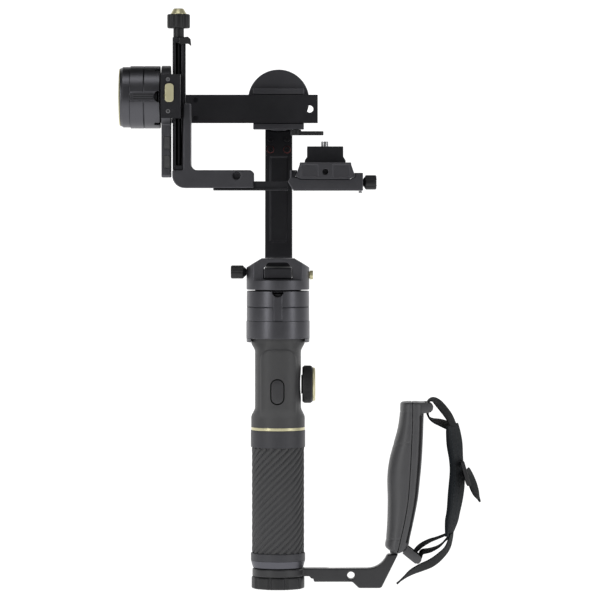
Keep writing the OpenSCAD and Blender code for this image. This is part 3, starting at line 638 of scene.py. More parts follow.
trigger = pill("trigger_cap", 10.6, 20.6, trigger_low[1] / mm, trigger_high[1] / mm, trigger_middle,
               0.35, 0.9, smooth_nylon)
trigger.data.set_sharp_from_angle(angle=math.radians(40))
finished(trigger, "black_knob_plastic", "trigger", "trigger_button")


# ---------------------------------------------------------------- Rear panel, display and keys
# A gloss black panel let into the housing's back holds a smoked window, a thumb stick that
# tilts both ways in a pivot ring, and a knurled dial round the menu button.
gloss_panel, tree, shader = finish_of("gloss_black_abs")
place, _ = grain_bump(tree, shader, 6.0, 0.01)
mottle(tree, shader, place, "#0d0d0e", "#121213", 10, 0.08, 0.16)
smoked_glass, tree, shader = finish_of("smoked_glass")
place, _ = grain_bump(tree, shader, 12.0, 0.004)
mottle(tree, shader, place, "#07090b", "#0b0e12", 8, 0.03, 0.07)
shader.inputs["Coat Weight"].default_value = 0.6
black_nylon, tree, shader = finish_of("black_glass_filled_nylon")
place, _ = grain_bump(tree, shader, 0.25, 0.03)
mottle(tree, shader, place, "#161618", "#1d1d1f", 4, 0.42, 0.54)
edged("rear_panel", 0.25, gloss_panel, "handle")
edged("display_window", 0.15, smoked_glass, "handle")
edged("joystick_ring", 0.2, black_nylon, "stick_ring", sharpest=40)
edged("joystick_cap", 0.3, moulded_rubber, "stick", sharpest=40)
edged("mode_dial", 0.15, black_nylon, "dial", steps=1)
edged("menu_button", 0.3, champagne, "menu", sharpest=40)


# ---------------------------------------------------------------- Control wheel
# A focus wheel on the housing's right: a black nylon drum with fine moulded ridges for the
# thumb, turning on a spindle, under a turned champagne cap.
tree, given = growing_tree("rim_ridges", ("Ridges", "NodeSocketInt"), "Rim Radius", "Ridge Length",
                           "Ridge Width")
bar = add(tree, "GeometryNodeMeshCylinder", Vertices=8, links=[
    (given.outputs["Ridge Width"], "Radius"), (given.outputs["Ridge Length"], "Depth")])
rim = add(tree, "GeometryNodeMeshCircle", links=[
    (given.outputs["Ridges"], "Vertices"), (given.outputs["Rim Radius"], "Radius")])
ring = add(tree, "GeometryNodeInstanceOnPoints",
           links=[(rim.outputs[0], "Points"), (bar.outputs[0], "Instance")])
whole = add(tree, "GeometryNodeJoinGeometry", links=[(ring.outputs[0], "Geometry"),
                                                    (given.outputs["Geometry"], "Geometry")])
close_tree(tree, whole.outputs[0], black_nylon)


def stood(obj, turn, place):
    """Turns and places a piece made on Z, in its mesh, so its object stays at the origin."""
    obj.data.transform(Matrix.Translation(Vector(place) * mm) @ turn.to_4x4())
    return obj


face_right = Matrix.Rotation(math.pi / 2, 4, "Y")
wheel_low, wheel_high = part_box("control_wheel")
wheel_r = (wheel_high[2] - wheel_low[2]) / 2 / mm
drum_w = 8.8
round_off = 1.6
ridge_r = 0.42
drum_r = wheel_r - ridge_r - 0.02
drum = [(0, -drum_w / 2 - 0.9), (8, -drum_w / 2 - 0.9), (8, -drum_w / 2)]
for foot, (a0, a1) in ((-1, (-90, 0)), (1, (0, 90))):
    drum += [(drum_r - round_off + round_off * math.cos(math.radians(a)),
              foot * (drum_w / 2 - round_off) + round_off * math.sin(math.radians(a)))
             for a in range(a0, a1 + 1, 18)]
drum += [(14.5, drum_w / 2), (14.5, drum_w / 2 - 0.6), (0, drum_w / 2 - 0.6)]
wheel = grown("focus_wheel", tree, lathe(drum), black_nylon, "black_knob_plastic", "wheel",
              Ridges=84, Rim_Radius=drum_r * mm, Ridge_Length=(drum_w - 2 * round_off) * mm,
              Ridge_Width=ridge_r * mm)
stood(wheel, face_right, (wheel_high[0] / mm - drum_w / 2, 0, wheel_z))
wheel.data.set_sharp_from_angle(angle=math.radians(35))
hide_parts("control_wheel")
edged("wheel_cap", 0.35, champagne, "wheel")


# ---------------------------------------------------------------- Pan motor
# A cast base with two cheeks that reach over the housing, and a lathe-turned shell with a flat
# channel down the front and a lock notch at its head. Turning leaves fine rings round the shell.
def turned_alloy(name, axis):
    """Anodised aluminium with the fine rings that a lathe leaves square to its axis."""
    made, tree, shader = finish_of(name)
    shader.inputs["Metallic"].default_value = 1.0
    place = add(tree, "ShaderNodeTexCoord")
    parts = add(tree, "ShaderNodeSeparateXYZ", links=[(place.outputs["Object"], "Vector")])
    line = add(tree, "ShaderNodeCombineXYZ", links=[(parts.outputs[axis], axis)])
    rings = add(tree, "ShaderNodeTexNoise", Scale=1 / (0.55 * mm), Detail=4.0,
                links=[(line.outputs[0], "Vector")])
    bump = add(tree, "ShaderNodeBump", Strength=0.9, Distance=0.02 * mm,
               links=[(rings.outputs["Fac"], "Height")])
    tree.links.new(bump.outputs["Normal"], shader.inputs["Normal"])
    mottle(tree, shader, place, "#56565a", "#606064", 16, 0.34, 0.42)
    return made


turned_z = turned_alloy("turned_anodised_aluminium_upright", "Z")
turned_x = turned_alloy("turned_anodised_aluminium_across", "X")
turned_y = turned_alloy("turned_anodised_aluminium_fore_and_aft", "Y")
edged("pan_motor_base", 0.5, turned_z, "handle")
edged("pan_motor_shell", 0.4, turned_z, "handle")


# ---------------------------------------------------------------- Pan clamp, lock and arm screw
# A milled cap that turns with the pan motor and grips the tall arm in a rail. A champagne lock
# slides in on its right, and a black nylon thumb screw tightens the rail on its left.
satin_alloy, tree, shader = finish_of("satin_anodised_aluminium")
shader.inputs["Metallic"].default_value = 1.0
place, _ = grain_bump(tree, shader, 0.22, 0.012)
mottle(tree, shader, place, "#56565a", "#5f5f63", 18, 0.4, 0.48)
dark_alloy, tree, shader = finish_of("hard_anodised_black_aluminium")
shader.inputs["Metallic"].default_value = 1.0
place, _ = grain_bump(tree, shader, 0.2, 0.016)
mottle(tree, shader, place, "#3c3c3f", "#454548", 14, 0.4, 0.48)
# black felt for the rings in the motor gaps, which are painted shade
gap_shade_felt, tree, shader = finish_of("black_gap_shade_felt")
place, _ = grain_bump(tree, shader, 0.5, 0.12)
mottle(tree, shader, place, "#121213", "#1a1a1b", 3, 0.85, 0.95)
motor_gap, shade_ring_clearance, shade_ring_r = 1.1, 0.06, 19.4


def gap_shade_ring(name, body, turn, place):
    """A black felt ring in the gap between a motor's shell and its turning half, painted shade that keeps
    the gap dark.
    """
    ring = [(6, shade_ring_clearance), (shade_ring_r, shade_ring_clearance), (shade_ring_r, motor_gap - shade_ring_clearance),
            (6, motor_gap - shade_ring_clearance), (6, shade_ring_clearance)]
    made = outward(new_piece(name, *lathe(ring), gap_shade_felt))
    stood(made, turn, place)
    return finished(made, "grip_rubber", body)


# black felt ring in the pan motor's gap, painted shade
gap_shade_ring("pan_gap_shade_ring", "pan_frame", Matrix.Identity(4), (0, 0, 251.6))
edged("pan_clamp", 0.6, satin_alloy, "pan_frame")
edged("pan_lock", 0.4, champagne, "pan_lock_slider")
edged("yaw_screw", 0.35, black_nylon, "yaw_screw_body", sharpest=24)


# ---------------------------------------------------------------- Tall arm and roll motor
# The arm is one milled bar that leans back and curls up behind the roll motor. Four socket
# screws hold it, the lower two sealed with red thread lock. Its back is relieved.
arm_low, arm_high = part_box("yaw_arm")
edged("yaw_arm", 0.8, dark_alloy, "yaw_frame", sharpest=25)

tree, given = growing_tree("socket_screws", "Head Radius", "Head Height", "Key Radius", "Key Depth")
head = add(tree, "GeometryNodeMeshCylinder", Vertices=40, links=[
    (given.outputs["Head Radius"], "Radius"), (given.outputs["Head Height"], "Depth")])
key = add(tree, "GeometryNodeMeshCylinder", Vertices=6, links=[
    (given.outputs["Key Radius"], "Radius"), (given.outputs["Key Depth"], "Depth")])
lift = add(tree, "ShaderNodeMath", operation="DIVIDE", links=[(given.outputs["Head Height"], 0)])
lift.inputs[1].default_value = 2.0
up = add(tree, "ShaderNodeCombineXYZ", links=[(lift.outputs[0], "Z")])
raised = add(tree, "GeometryNodeTransform", links=[(key.outputs[0], "Geometry"),
                                                  (up.outputs[0], "Translation")])
drilled = add(tree, "GeometryNodeMeshBoolean", operation="DIFFERENCE", solver="EXACT")
tree.links.new(head.outputs[0], drilled.inputs["Mesh 1"])
tree.links.new(raised.outputs[0], drilled.inputs["Mesh 2"])
seats = add(tree, "GeometryNodeInstanceOnPoints", links=[
    (given.outputs["Geometry"], "Points"), (drilled.outputs[0], "Instance")])
close_tree(tree, seats.outputs[0], turned_steel, smooth=False)
screw_tree = tree
face_front = Matrix.Rotation(math.pi / 2, 4, "X")


def screws(name, places, body, radius, height, turn=face_front, y=0.0, material=turned_steel):
    """Socket screws at these (across, up) places in mm, on a face that looks to the front."""
    made = grown(name, screw_tree, ([(x * mm, z * mm, 0) for x, z in places], []), material,
                 "turned_steel", body, Head_Radius=radius * mm, Head_Height=height * mm,
                 Key_Radius=radius * 0.6 * mm, Key_Depth=height * 3 * mm)
    made.data.materials.clear()
    made.data.materials.append(material)
    return stood(made, turn, (0, y, 0))


edged("yaw_arm_screws", 0.12, black_steel, "yaw_frame", steps=1)
thread_lock, tree, shader = finish_of("red_thread_lock")
place, _ = grain_bump(tree, shader, 0.4, 0.05)
mottle(tree, shader, place, "#4e1b1a", "#6b2a27", 1.2, 0.3, 0.5)
for side in (-7.2, 7.2):
    bead = new_piece(f"thread_lock_bead_{'left' if side < 0 else 'right'}", *lathe(
        [(2.6, 0.25), (2.75, 0.6), (3.1, 0.62), (3.35, 0.25), (2.6, 0.25)], 40), thread_lock, smooth=True)
    stood(bead, Matrix.Rotation(math.radians(77), 4, "X"), (side, 120.8, 372.4))
    finished(bead, "housing_plastic", "yaw_frame")
edged("roll_motor_shell", 0.4, turned_y, "yaw_frame")


# ---------------------------------------------------------------- Roll clamp, lock and lever
# The turning half of the roll motor carries jaws that hold the side arm. A black nylon lever
# under them works the clamp, and a champagne lock slides in from the right.
roll_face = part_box("roll_motor_shell")[0][1] / mm
# black felt ring in the roll motor's gap, painted shade
gap_shade_ring("roll_gap_shade_ring", "roll_frame", Matrix.Rotation(math.pi / 2, 4, "X"), (0, roll_face, 415))
edged("roll_clamp", 0.6, satin_alloy, "roll_frame")
edged("roll_lock", 0.4, champagne, "roll_lock_slider")
edged("roll_lever", 0.5, black_nylon, "roll_lever_body", sharpest=24)


# ---------------------------------------------------------------- Side arm and tilt motor
# The side arm is one milled bar, bent square, with its leg coming forward to the tilt motor.
# The motor's shell is lathe-turned, with fine ribs let into its channel and a domed end cap
# that has a champagne line turned into its rim.
edged("roll_arm", 0.45, dark_alloy, "roll_arm_frame", sharpest=25)
edged("tilt_motor_shell", 0.4, turned_x, "roll_arm_frame")
edged("tilt_end_cap", 0.5, turned_x, "roll_arm_frame", sharpest=30)

shell_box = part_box("tilt_motor_shell")
axis_height = (shell_box[0][2] + shell_box[1][2]) / 2 / mm
rib_pitch = 1.9
rib_size = Vector((17.6, 0.7, 1.0))
tree, given = growing_tree("channel_ribs", ("Count", "NodeSocketInt"), "Pitch",
                           ("Rib Size", "NodeSocketVector"))
step = add(tree, "ShaderNodeCombineXYZ", links=[(given.outputs["Pitch"], "Z")])
rows = add(tree, "GeometryNodeMeshLine", links=[(given.outputs["Count"], "Count"),
                                               (step.outputs[0], "Offset")])
rib = add(tree, "GeometryNodeMeshCube", links=[(given.outputs["Rib Size"], "Size")])
ribs = add(tree, "GeometryNodeInstanceOnPoints", links=[(rows.outputs[0], "Points"),
                                                       (rib.outputs[0], "Instance")])
close_tree(tree, ribs.outputs[0], satin_alloy, smooth=False)
ribs_made = grown("tilt_channel_ribs", tree, ([(0, 0, 0)], []), satin_alloy, "anodised_aluminium",
                  "roll_arm_frame", Count=4, Pitch=rib_pitch * mm, Rib_Size=rib_size * mm)
stood(ribs_made, Matrix.Identity(4), ((shell_box[0][0] + shell_box[1][0]) / 2 / mm - 1.6,
                                      shell_box[0][1] / mm + 1.05, axis_height - 1.5 * rib_pitch))

# a black plate under the ribs, painted shade that darkens the gaps between them
channel_shade_bed = new_piece("tilt_channel_shade_bed", *stacked([
    [(shell_box[0][0] + x * mm, y * mm, (axis_height + z) * mm)
     for x, z in ((3.2, -3.1), (19.8, -3.1), (19.8, 3.1), (3.2, 3.1))]
    for y in (-25.32, -25.0)]), black_nylon)
finished(outward(channel_shade_bed), "grip_rubber", "roll_arm_frame")

cap_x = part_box("tilt_end_cap")[0][0] / mm
line_points = [(23.7, 0.3), (24.2, 1.0), (24.35, 0.8), (23.85, 0.1), (23.7, 0.3)]
rim_line = new_piece("tilt_rim_line", *lathe(line_points), champagne, smooth=True)
stood(rim_line, Matrix.Rotation(math.pi / 2, 4, "Y"), (cap_x + 0.95, 0, axis_height))
finished(rim_line, "gold_anodised", "roll_arm_frame")


# ---------------------------------------------------------------- Tilt plate and clamp block
# The turning half of the tilt motor runs down into a bar with two rubber port covers. The
# block on it clamps the camera post, held by two bright socket screws either side of the
# champagne lock lever.
tilt_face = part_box("tilt_motor_shell")[1][0] / mm
# black felt ring in the tilt motor's gap, painted shade
gap_shade_ring("tilt_gap_shade_ring", "tilt_frame", Matrix.Rotation(math.pi / 2, 4, "Y"), (tilt_face, 0, 415))
edged("tilt_plate", 0.6, satin_alloy, "tilt_frame")
edged("clamp_block", 0.4, dark_alloy, "tilt_frame")
edged("port_covers", 0.35, moulded_rubber, "tilt_frame")
edged("tilt_lock", 0.45, champagne, "tilt_lock_slider", steps=3, outer_only=True)
block_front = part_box("clamp_block")[0][1] / mm
screws("clamp_block_screws", [(-91.8, 402.5), (-91.8, 429.2)], "tilt_frame", 1.75, 0.7,
       y=block_front - 0.05)

tree, given = growing_tree("moulded_arrows", ("Count", "NodeSocketInt"), "Pitch", "Arrow Radius",
                           "Arrow Height")
step = add(tree, "ShaderNodeCombineXYZ", links=[(given.outputs["Pitch"], "Y")])
rows = add(tree, "GeometryNodeMeshLine", links=[(given.outputs["Count"], "Count"),
                                               (step.outputs[0], "Offset")])
arrow = add(tree, "GeometryNodeMeshCylinder", Vertices=3, links=[
    (given.outputs["Arrow Radius"], "Radius"), (given.outputs["Arrow Height"], "Depth")])
marks = add(tree, "GeometryNodeInstanceOnPoints", links=[(rows.outputs[0], "Points"),
                                                        (arrow.outputs[0], "Instance")])
close_tree(tree, marks.outputs[0], moulded_rubber, smooth=False)
cover_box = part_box("port_covers")
marks_made = grown("port_cover_arrows", tree, ([(0, 0, 0)], []), moulded_rubber, "grip_rubber",
                   "tilt_frame", Count=2, Pitch=-16.2 * mm, Arrow_Radius=1.3 * mm,
                   Arrow_Height=0.5 * mm)
stood(marks_made, face_front, ((cover_box[0][0] + cover_box[1][0]) / 2 / mm,
                               cover_box[0][1] / mm - 0.1, 376.6))


# ---------------------------------------------------------------- Camera post and bracket
# A grooved rail carries the camera up and down. It is screwed to a milled bracket under the
# camera, and a lobed thumb wheel with a champagne cap turns its lead screw.
edged("post_rail", 0.5, dark_alloy, "post")
edged("camera_bracket", 1.0, satin_alloy, "post")
edged("lead_screw", 0.1, black_steel, "height_screw", steps=1)
edged("height_lever", 0.5, black_nylon, "height_hook", sharpest=24)

knob_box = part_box("height_knob")
knob_middle = ((knob_box[0][0] + knob_box[1][0]) / 2 / mm, (knob_box[0][1] + knob_box[1][1]) / 2 / mm)
neck_r, knob_r, collar_z, crown_z = 4.5, 10.1, 473.0, 484.8
round_off = 1.1
flutes = 6


def fluted(radius, count, depth, z, samples=144):
    """A ring of points with this many shallow flutes in it."""
    loop = []
    for i in range(samples):
        a = 2 * math.pi * i / samples
        wave = abs(math.cos(a * count / 2)) ** 5
        r = radius - depth * wave
        loop.append((r * math.cos(a) * mm, r * math.sin(a) * mm, z * mm))
    return loop


knob_z0 = knob_box[0][2] / mm
rings = [fluted(neck_r, flutes, 0, z) for z in (knob_z0, collar_z)]
profile = [(knob_r - round_off, collar_z)]
profile += [(knob_r - round_off + round_off * math.sin(a), collar_z + round_off - round_off * math.cos(a))
            for a in (0.5, 1.0, 1.57)]
profile += [(knob_r - round_off + round_off * math.cos(a), crown_z - round_off + round_off * math.sin(a))
            for a in (0, 0.55, 1.05, 1.57)]
profile += [(knob_r - 2.6, crown_z - 0.3)]
rings += [fluted(r, flutes, 1.25 if r > neck_r + 1 else 0, z) for r, z in profile]
knob = outward(new_piece("height_wheel", *stacked(rings), black_nylon, smooth=True))
stood(knob, Matrix.Identity(4), (*knob_middle, 0))
knob.data.set_sharp_from_angle(angle=math.radians(38))
finished(knob, "black_knob_plastic", "height_screw", "height_knob")

cap_top = knob_box[1][2] / mm
cap_line = [(0, crown_z - 0.4), (6.7, crown_z - 0.4), (6.7, crown_z + 0.5), (6.3, crown_z + 1.0),
            (4.4, cap_top - 0.5), (3.9, cap_top - 0.1), (2.4, cap_top - 0.1), (2.0, cap_top - 0.5),
            (0, cap_top - 0.6)]
crown = new_piece("height_wheel_cap", *lathe(cap_line), champagne, smooth=True)
stood(crown, Matrix.Identity(4), (*knob_middle, 0))
crown.data.set_sharp_from_angle(angle=math.radians(30))
finished(crown, "gold_anodised", "height_screw")


# ---------------------------------------------------------------- Platform and quick release
# A black slide runs out of the bracket under a milled dovetail base. Its knurled thumb screw
# clamps the plate, and a steel button beside it stops the plate from sliding out.
edged("slide_plate", 0.4, dark_alloy, "platform")
edged("qr_base", 0.6, satin_alloy, "platform")
edged("qr_knob", 0.35, black_nylon, "platform_knob", sharpest=24)
edged("safety_button", 0.2, turned_steel, "platform_button")
edged("qr_plate", 0.5, satin_alloy, "plate")
edged("camera_riser", 0.5, dark_alloy, "plate")
edged("camera_screw", 0.3, turned_steel, "plate_screw")
riser_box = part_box("camera_riser")
pad_ridges = 11
tree, given = growing_tree("pad_ridges", ("Count", "NodeSocketInt"), "Pitch",
                           ("Ridge Size", "NodeSocketVector"))
step = add(tree, "ShaderNodeCombineXYZ", links=[(given.outputs["Pitch"], "Y")])
rows = add(tree, "GeometryNodeMeshLine", links=[(given.outputs["Count"], "Count"),
                                               (step.outputs[0], "Offset")])
ridge = add(tree, "GeometryNodeMeshCube", links=[(given.outputs["Ridge Size"], "Size")])
ridges = add(tree, "GeometryNodeInstanceOnPoints", links=[(rows.outputs[0], "Points"),
                                                         (ridge.outputs[0], "Instance")])
close_tree(tree, ridges.outputs[0], moulded_rubber, smooth=False)
ridge_size = Vector((7.0, 1.2, 0.9))
for side in (-1, 1):
    made = grown(f"riser_pad_{'left' if side < 0 else 'right'}", tree, ([(0, 0, 0)], []),
                 moulded_rubber, "grip_rubber", "plate", Count=pad_ridges, Pitch=2.6 * mm,
                 Ridge_Size=ridge_size * mm)
    stood(made, Matrix.Identity(4), (39.5 + side * 11.2, -50, riser_box[1][2] / mm - 0.35))


# ---------------------------------------------------------------- Sling arm
# One cast aluminium bracket, painted satin black: a ring held by the foot knob, a level arm
# with a threaded accessory hole, and a bar that bends up into the hand grip.
painted_casting, tree, shader = finish_of("satin_black_painted_casting")
place, _ = grain_bump(tree, shader, 0.7, 0.03)
mottle(tree, shader, place, "#29292b", "#303032", 9, 0.36, 0.46)
edged("sling_arm", 1.1, painted_casting, "sling", sharpest=22)


# ---------------------------------------------------------------- Hand grip of the sling
# Two moulded halves of satin nylon, closed round the cast bar and parted by a dark seam. The
# outer half has a deep groove inside its palm edge. Lugs at both ends take the strap.
satin_nylon, tree, shader = finish_of("satin_moulded_nylon")
place, _ = grain_bump(tree, shader, 0.35, 0.016)
mottle(tree, shader, place, "#444446", "#4b4b4d", 13, 0.36, 0.46)
grip_rows = [  # height, inner edge, seam and outer edge, in mm
    (30.3, 97.6, 100.4, 104.0), (35.1, 91.3, 101.9, 109.4), (43.4, 91.9, 103.8, 111.4),
    (57.6, 92.8, 106.9, 114.5), (75.4, 93.1, 109.8, 117.9), (93.2, 92.8, 111.2, 119.9),
    (107.4, 94.3, 112.0, 121.2), (121.7, 97.9, 112.6, 122.0), (134.7, 101.4, 113.2, 122.5),
    (146.5, 103.2, 113.5, 122.8), (157.8, 103.8, 113.5, 122.9)]
grip_half_w = 16.0
creases = [(149.6, 0.0, 0.3), (121.4, 2.6, 0.35), (41.6, 0.8, 0.3)]
seam_gap = 0.35
end_round = 2.2


def smooth_line(points, parts):
    """More points, on a smooth curve through the given ones."""
    line = []
    for i in range(len(points) - 1):
        a, b = points[max(i - 1, 0)], points[i]
        c, d = points[i + 1], points[min(i + 2, len(points) - 1)]
        for k in range(parts):
            t = k / parts
            line.append(tuple(0.5 * (2 * q + (r - p) * t + (2 * p - 5 * q + 4 * r - s) * t * t
                                     + (3 * q - p - 3 * r + s) * t ** 3)
                              for p, q, r, s in zip(a, b, c, d)))
    return line + [tuple(points[-1])]


def grip_half(side, samples=84):
    """Rings of one half, from its foot up. The inner half is side -1 and the outer 1."""
    top, foot = grip_rows[-1][0], grip_rows[0][0]
    rings = []
    for z, inner, seam, outer in smooth_line(grip_rows, 16):
        depth = min(top - z, z - foot)
        inset = 0.0
        if depth < end_round:
            inset = end_round - math.sqrt(max(end_round ** 2 - (end_round - depth) ** 2, 0))
        edge = inner if side < 0 else outer
        ring = []
        for i in range(samples + 1):
            a = math.pi * (i / samples - 0.5)
            power = 2 / 2.3 if side < 0 else 2 / 3.2
            reach = math.cos(a) ** power if math.cos(a) > 1e-6 else 0.0
            x = (edge - seam - side * inset) * reach + side * seam_gap
            y = (grip_half_w - inset) * math.copysign(abs(math.sin(a)) ** power, math.sin(a))
            dent = 0.0
            for middle, sweep, amount in creases:
                line_z = middle + sweep * (1 - reach)
                dent += amount * math.exp(-((z - line_z) / 0.55) ** 2) * (side < 0)
            if side > 0 and foot + 9 < z < top - 11:
                dent += 3.6 * math.exp(-((reach - 0.75) / 0.11) ** 4)
            dent += 0.5 * math.exp(-(reach / 0.05) ** 2)
            scale = max(1 - dent / math.hypot(x, y), 0)
            ring.append(((seam + x * scale) * mm, y * scale * mm, z * mm))
        rings.append(ring)
    return rings


def prism(name, outline, y0, y1, material, width=0.5):
    """A plate cut to an outline seen from the front, with its edges broken."""
    made = outward(new_piece(name, *stacked([[(x * mm, y * mm, z * mm) for x, z in outline]
                                             for y in (y0, y1)]), material))
    work = bmesh.new()
    work.from_mesh(made.data)
    sharp = [e for e in work.edges if len(e.link_faces) == 2 and e.calc_face_angle() > 0.6]
    bmesh.ops.bevel(work, geom=sharp, offset=width * mm, segments=2, profile=0.5, affect="EDGES",
                    clamp_overlap=True)
    work.to_mesh(made.data)
    work.free()
    made.data.polygons.foreach_set("use_smooth", [True] * len(made.data.polygons))
    made.data.set_sharp_from_angle(angle=math.radians(34))
    return made


inner_half = outward(new_piece("sling_grip_inner", *stacked(grip_half(-1)), satin_nylon, smooth=True))
inner_half.data.set_sharp_from_angle(angle=math.radians(55))
finished(inner_half, "housing_plastic", "sling", "sling_shell_inner")
outer_half = outward(new_piece("sling_grip_outer", *stacked(grip_half(1)), satin_nylon, smooth=True))
outer_half.data.set_sharp_from_angle(angle=math.radians(55))
finished(outer_half, "housing_plastic", "sling", "sling_shell_outer")

top_lug = prism("sling_lug_top", [(114.4, 157.6), (126.5, 157.6), (130.2, 156.4), (131.0, 154.6),
                                  (130.7, 151.4), (128.6, 149.4), (121.5, 148.2), (114.4, 148.2)],
                -13.5, 13.5, satin_nylon, 0.9)
slot_tool = outward(new_piece("lug_slot", *stacked([
    [(x * mm, y * mm, z * mm) for x, y in ((124, -11), (128.4, -11), (128.4, 11), (124, 11))]
    for z in (140, 165)])))
cut(top_lug, slot_tool)
finished(top_lug, "housing_plastic", "sling")

lug_root, lug_turn = Vector((104.0, 35.6)), math.radians(-38)
lug_axis = Vector((math.cos(lug_turn), math.sin(lug_turn)))
lug_side = Vector((-lug_axis.y, lug_axis.x))
cheek = [(4, 3.6), (13, 3.8), (17.6, 3.8), (20.2, 2.2), (20.6, 0), (20.2, -2.2), (17.6, -3.8),
         (13, -3.8), (4, -3.6)]
cheek = [tuple(lug_root + lug_axis * along + lug_side * across) for along, across in cheek]
for name, (y0, y1) in (("front", (-13.5, -11)), ("back", (11, 13.5))):
    finished(prism(f"sling_lug_lower_{name}", cheek, y0, y1, satin_nylon, 0.5), "housing_plastic",
             "sling")
lug_pin = (117.9, 26.3)
pin = new_piece("sling_lug_pin", *lathe([(0, -12.6), (1.1, -12.6), (1.4, -12.3), (1.4, 12.3),
                                         (1.1, 12.6), (0, 12.6)], 32), turned_steel, smooth=True)
stood(pin, face_front, (lug_pin[0], 0, lug_pin[1]))
finished(pin, "turned_steel", "sling")


# ---------------------------------------------------------------- Strap, pad and buckle
# Nylon webbing 20 mm wide, woven black with a trace of blue, runs through both lugs and twists
# a little as it goes. Between them it is sewn to a foam pad in woven cloth, and the free end
# comes out of a moulded ladder buckle.
def woven(name, dark, light, pitch, depth):
    """Cloth whose crossing yarns are two wave textures at right angles."""
    made, tree, shader = finish_of(name)
    shader.inputs["Sheen Weight"].default_value = 0.03
    shader.inputs["Specular IOR Level"].default_value = 0.2
    place = add(tree, "ShaderNodeTexCoord")
    waves = [add(tree, "ShaderNodeTexWave", Scale=1 / (pitch * mm), Distortion=0.6,
                 bands_direction=axis, links=[(place.outputs["Object"], "Vector")])
             for axis in ("Y", "Z")]
    both = add(tree, "ShaderNodeMath", operation="MULTIPLY",
               links=[(waves[0].outputs["Fac"], 0), (waves[1].outputs["Fac"], 1)])
    bump = add(tree, "ShaderNodeBump", Strength=0.9, Distance=depth * mm,
               links=[(both.outputs[0], "Height")])
    tree.links.new(bump.outputs["Normal"], shader.inputs["Normal"])
    mottle(tree, shader, place, dark, light, 6, 0.78, 0.9)
    return made


webbing_weave = woven("woven_nylon_webbing", "#06090b", "#0b1013", 5.0, 0.16)
pad_weave = woven("padded_nylon_cloth", "#070c10", "#0d141a", 3.6, 0.1)
upper_loop = [(148.2, 137.4), (144.6, 145.2), (138.4, 153.4), (134, 157.8), (130.6, 159.6),
              (127.6, 158.6), (126.2, 155), (126.2, 150), (127.4, 145), (131, 142), (137.4, 140),
              (145, 137.2)]
pad_line = [(147.3, 138.2), (149.4, 122), (151, 106), (151.4, 90.8), (149.6, 72), (147, 57),
            (144.6, 44.2)]
pin_turn = [(lug_pin[0] + 2.7 * math.cos(math.radians(a)), lug_pin[1] + 2.7 * math.sin(math.radians(a)))
            for a in (170, 220, 270, 320, 370)]
lower_loop = ([(143, 45.6), (135, 42.4), (128, 39.8), (121, 35.8), (116.4, 31)] + pin_turn
              + [(122, 30.4), (129, 32), (136.4, 35.4), (142, 40.6), (145.6, 44.6)])
tail_line = [(147.2, 46.2), (143.6, 34.4), (137, 26.6), (129.6, 21), (121.6, 17.4), (113.6, 13.6),
             (106, 8), (100.6, 3.4)]
end_line = [(160.4, 101), (163.4, 92), (167, 82), (171, 73)]


def ribbon(line, width, thick, twist, across=6, puff=0.0, parts=8, taper=None):
    """Rings of a flat band along a line seen from the front. Its width lies along Y, turned by
    twist(share of the length) degrees, and puff makes its middle thicker, in mm."""
    path = smooth_line(line, parts)
    rings = []
    for i, (x, z) in enumerate(path):
        ahead, behind = path[min(i + 1, len(path) - 1)], path[max(i - 1, 0)]
        run = Vector((ahead[0] - behind[0], 0, ahead[1] - behind[1])).normalized()
        share = i / (len(path) - 1)
        turn = Matrix.Rotation(math.radians(twist(share)), 3, run)
        wide = turn @ Vector((0, 1, 0))
        flat = run.cross(wide)
        w = width * (taper(share) if taper else 1)
        ring = []
        for face in (1, -1):
            for k in range(across + 1):
                u = face * (2 * k / across - 1)
                swell = thick / 2 + puff / 2 * (1 - u ** 4) * (1 - (2 * share - 1) ** 8)
                swell *= 0.55 if k in (0, across) else 1
                ring.append((Vector((x, 0, z)) + wide * (u * w / 2) + flat * (face * swell)) * mm)
        rings.append(ring)
    return rings


def turned_ends(ends, lobes):
    """Twist of a loop that lies flat in its lug, halfway, and turns opposite ways at its ends."""
    def twist(share):
        swing = math.cos(math.pi * share)
        return ends * swing * abs(swing) + lobes * math.sin(2 * math.pi * share) ** 2
    return twist


def one_lobe(amount, start, end=0.0):
    return lambda share: start + (end - start) * share + amount * math.sin(math.pi * share)


bands = [
    ("strap_upper_loop", upper_loop, turned_ends(-17, -7), None),
    ("strap_lower_loop", lower_loop, turned_ends(9, 10), None),
    ("strap_tail", tail_line, one_lobe(20, 9), lambda share: 1 - 0.78 * ease(0.72, 1.0, share)),
    ("strap_end", end_line, one_lobe(14, 8, 4), lambda share: 1 - 0.7 * ease(0.7, 1.0, share))]
for name, line, twist, taper in bands:
    band = outward(new_piece(name, *stacked(ribbon(line, 20, 1.6, twist, taper=taper)), webbing_weave,
                             smooth=True))
    band.data.set_sharp_from_angle(angle=math.radians(60))
    finished(band, "nylon_webbing", "sling", *(["strap_webbing"] if name == "strap_upper_loop" else []))



def pad_twist(share):
    """A steady turn that eases off at the foot, with a little play from use."""
    return (17 + 4 * ease(0, 0.2, share)) * (1 - 0.58 * ease(0.8, 1, share)) + 2 * math.sin(14 * share)


pad_rings = ribbon(pad_line, 35, 2.0, pad_twist, across=28, puff=2.6, parts=14)
pad = outward(new_piece("strap_pad_cushion", *stacked(pad_rings), pad_weave, smooth=True))
pad_ring = len(pad_rings[0])
seam_columns = (1, 5, 14, 23, 27)
settle_frames = 20
longest_move = 1.2 * mm


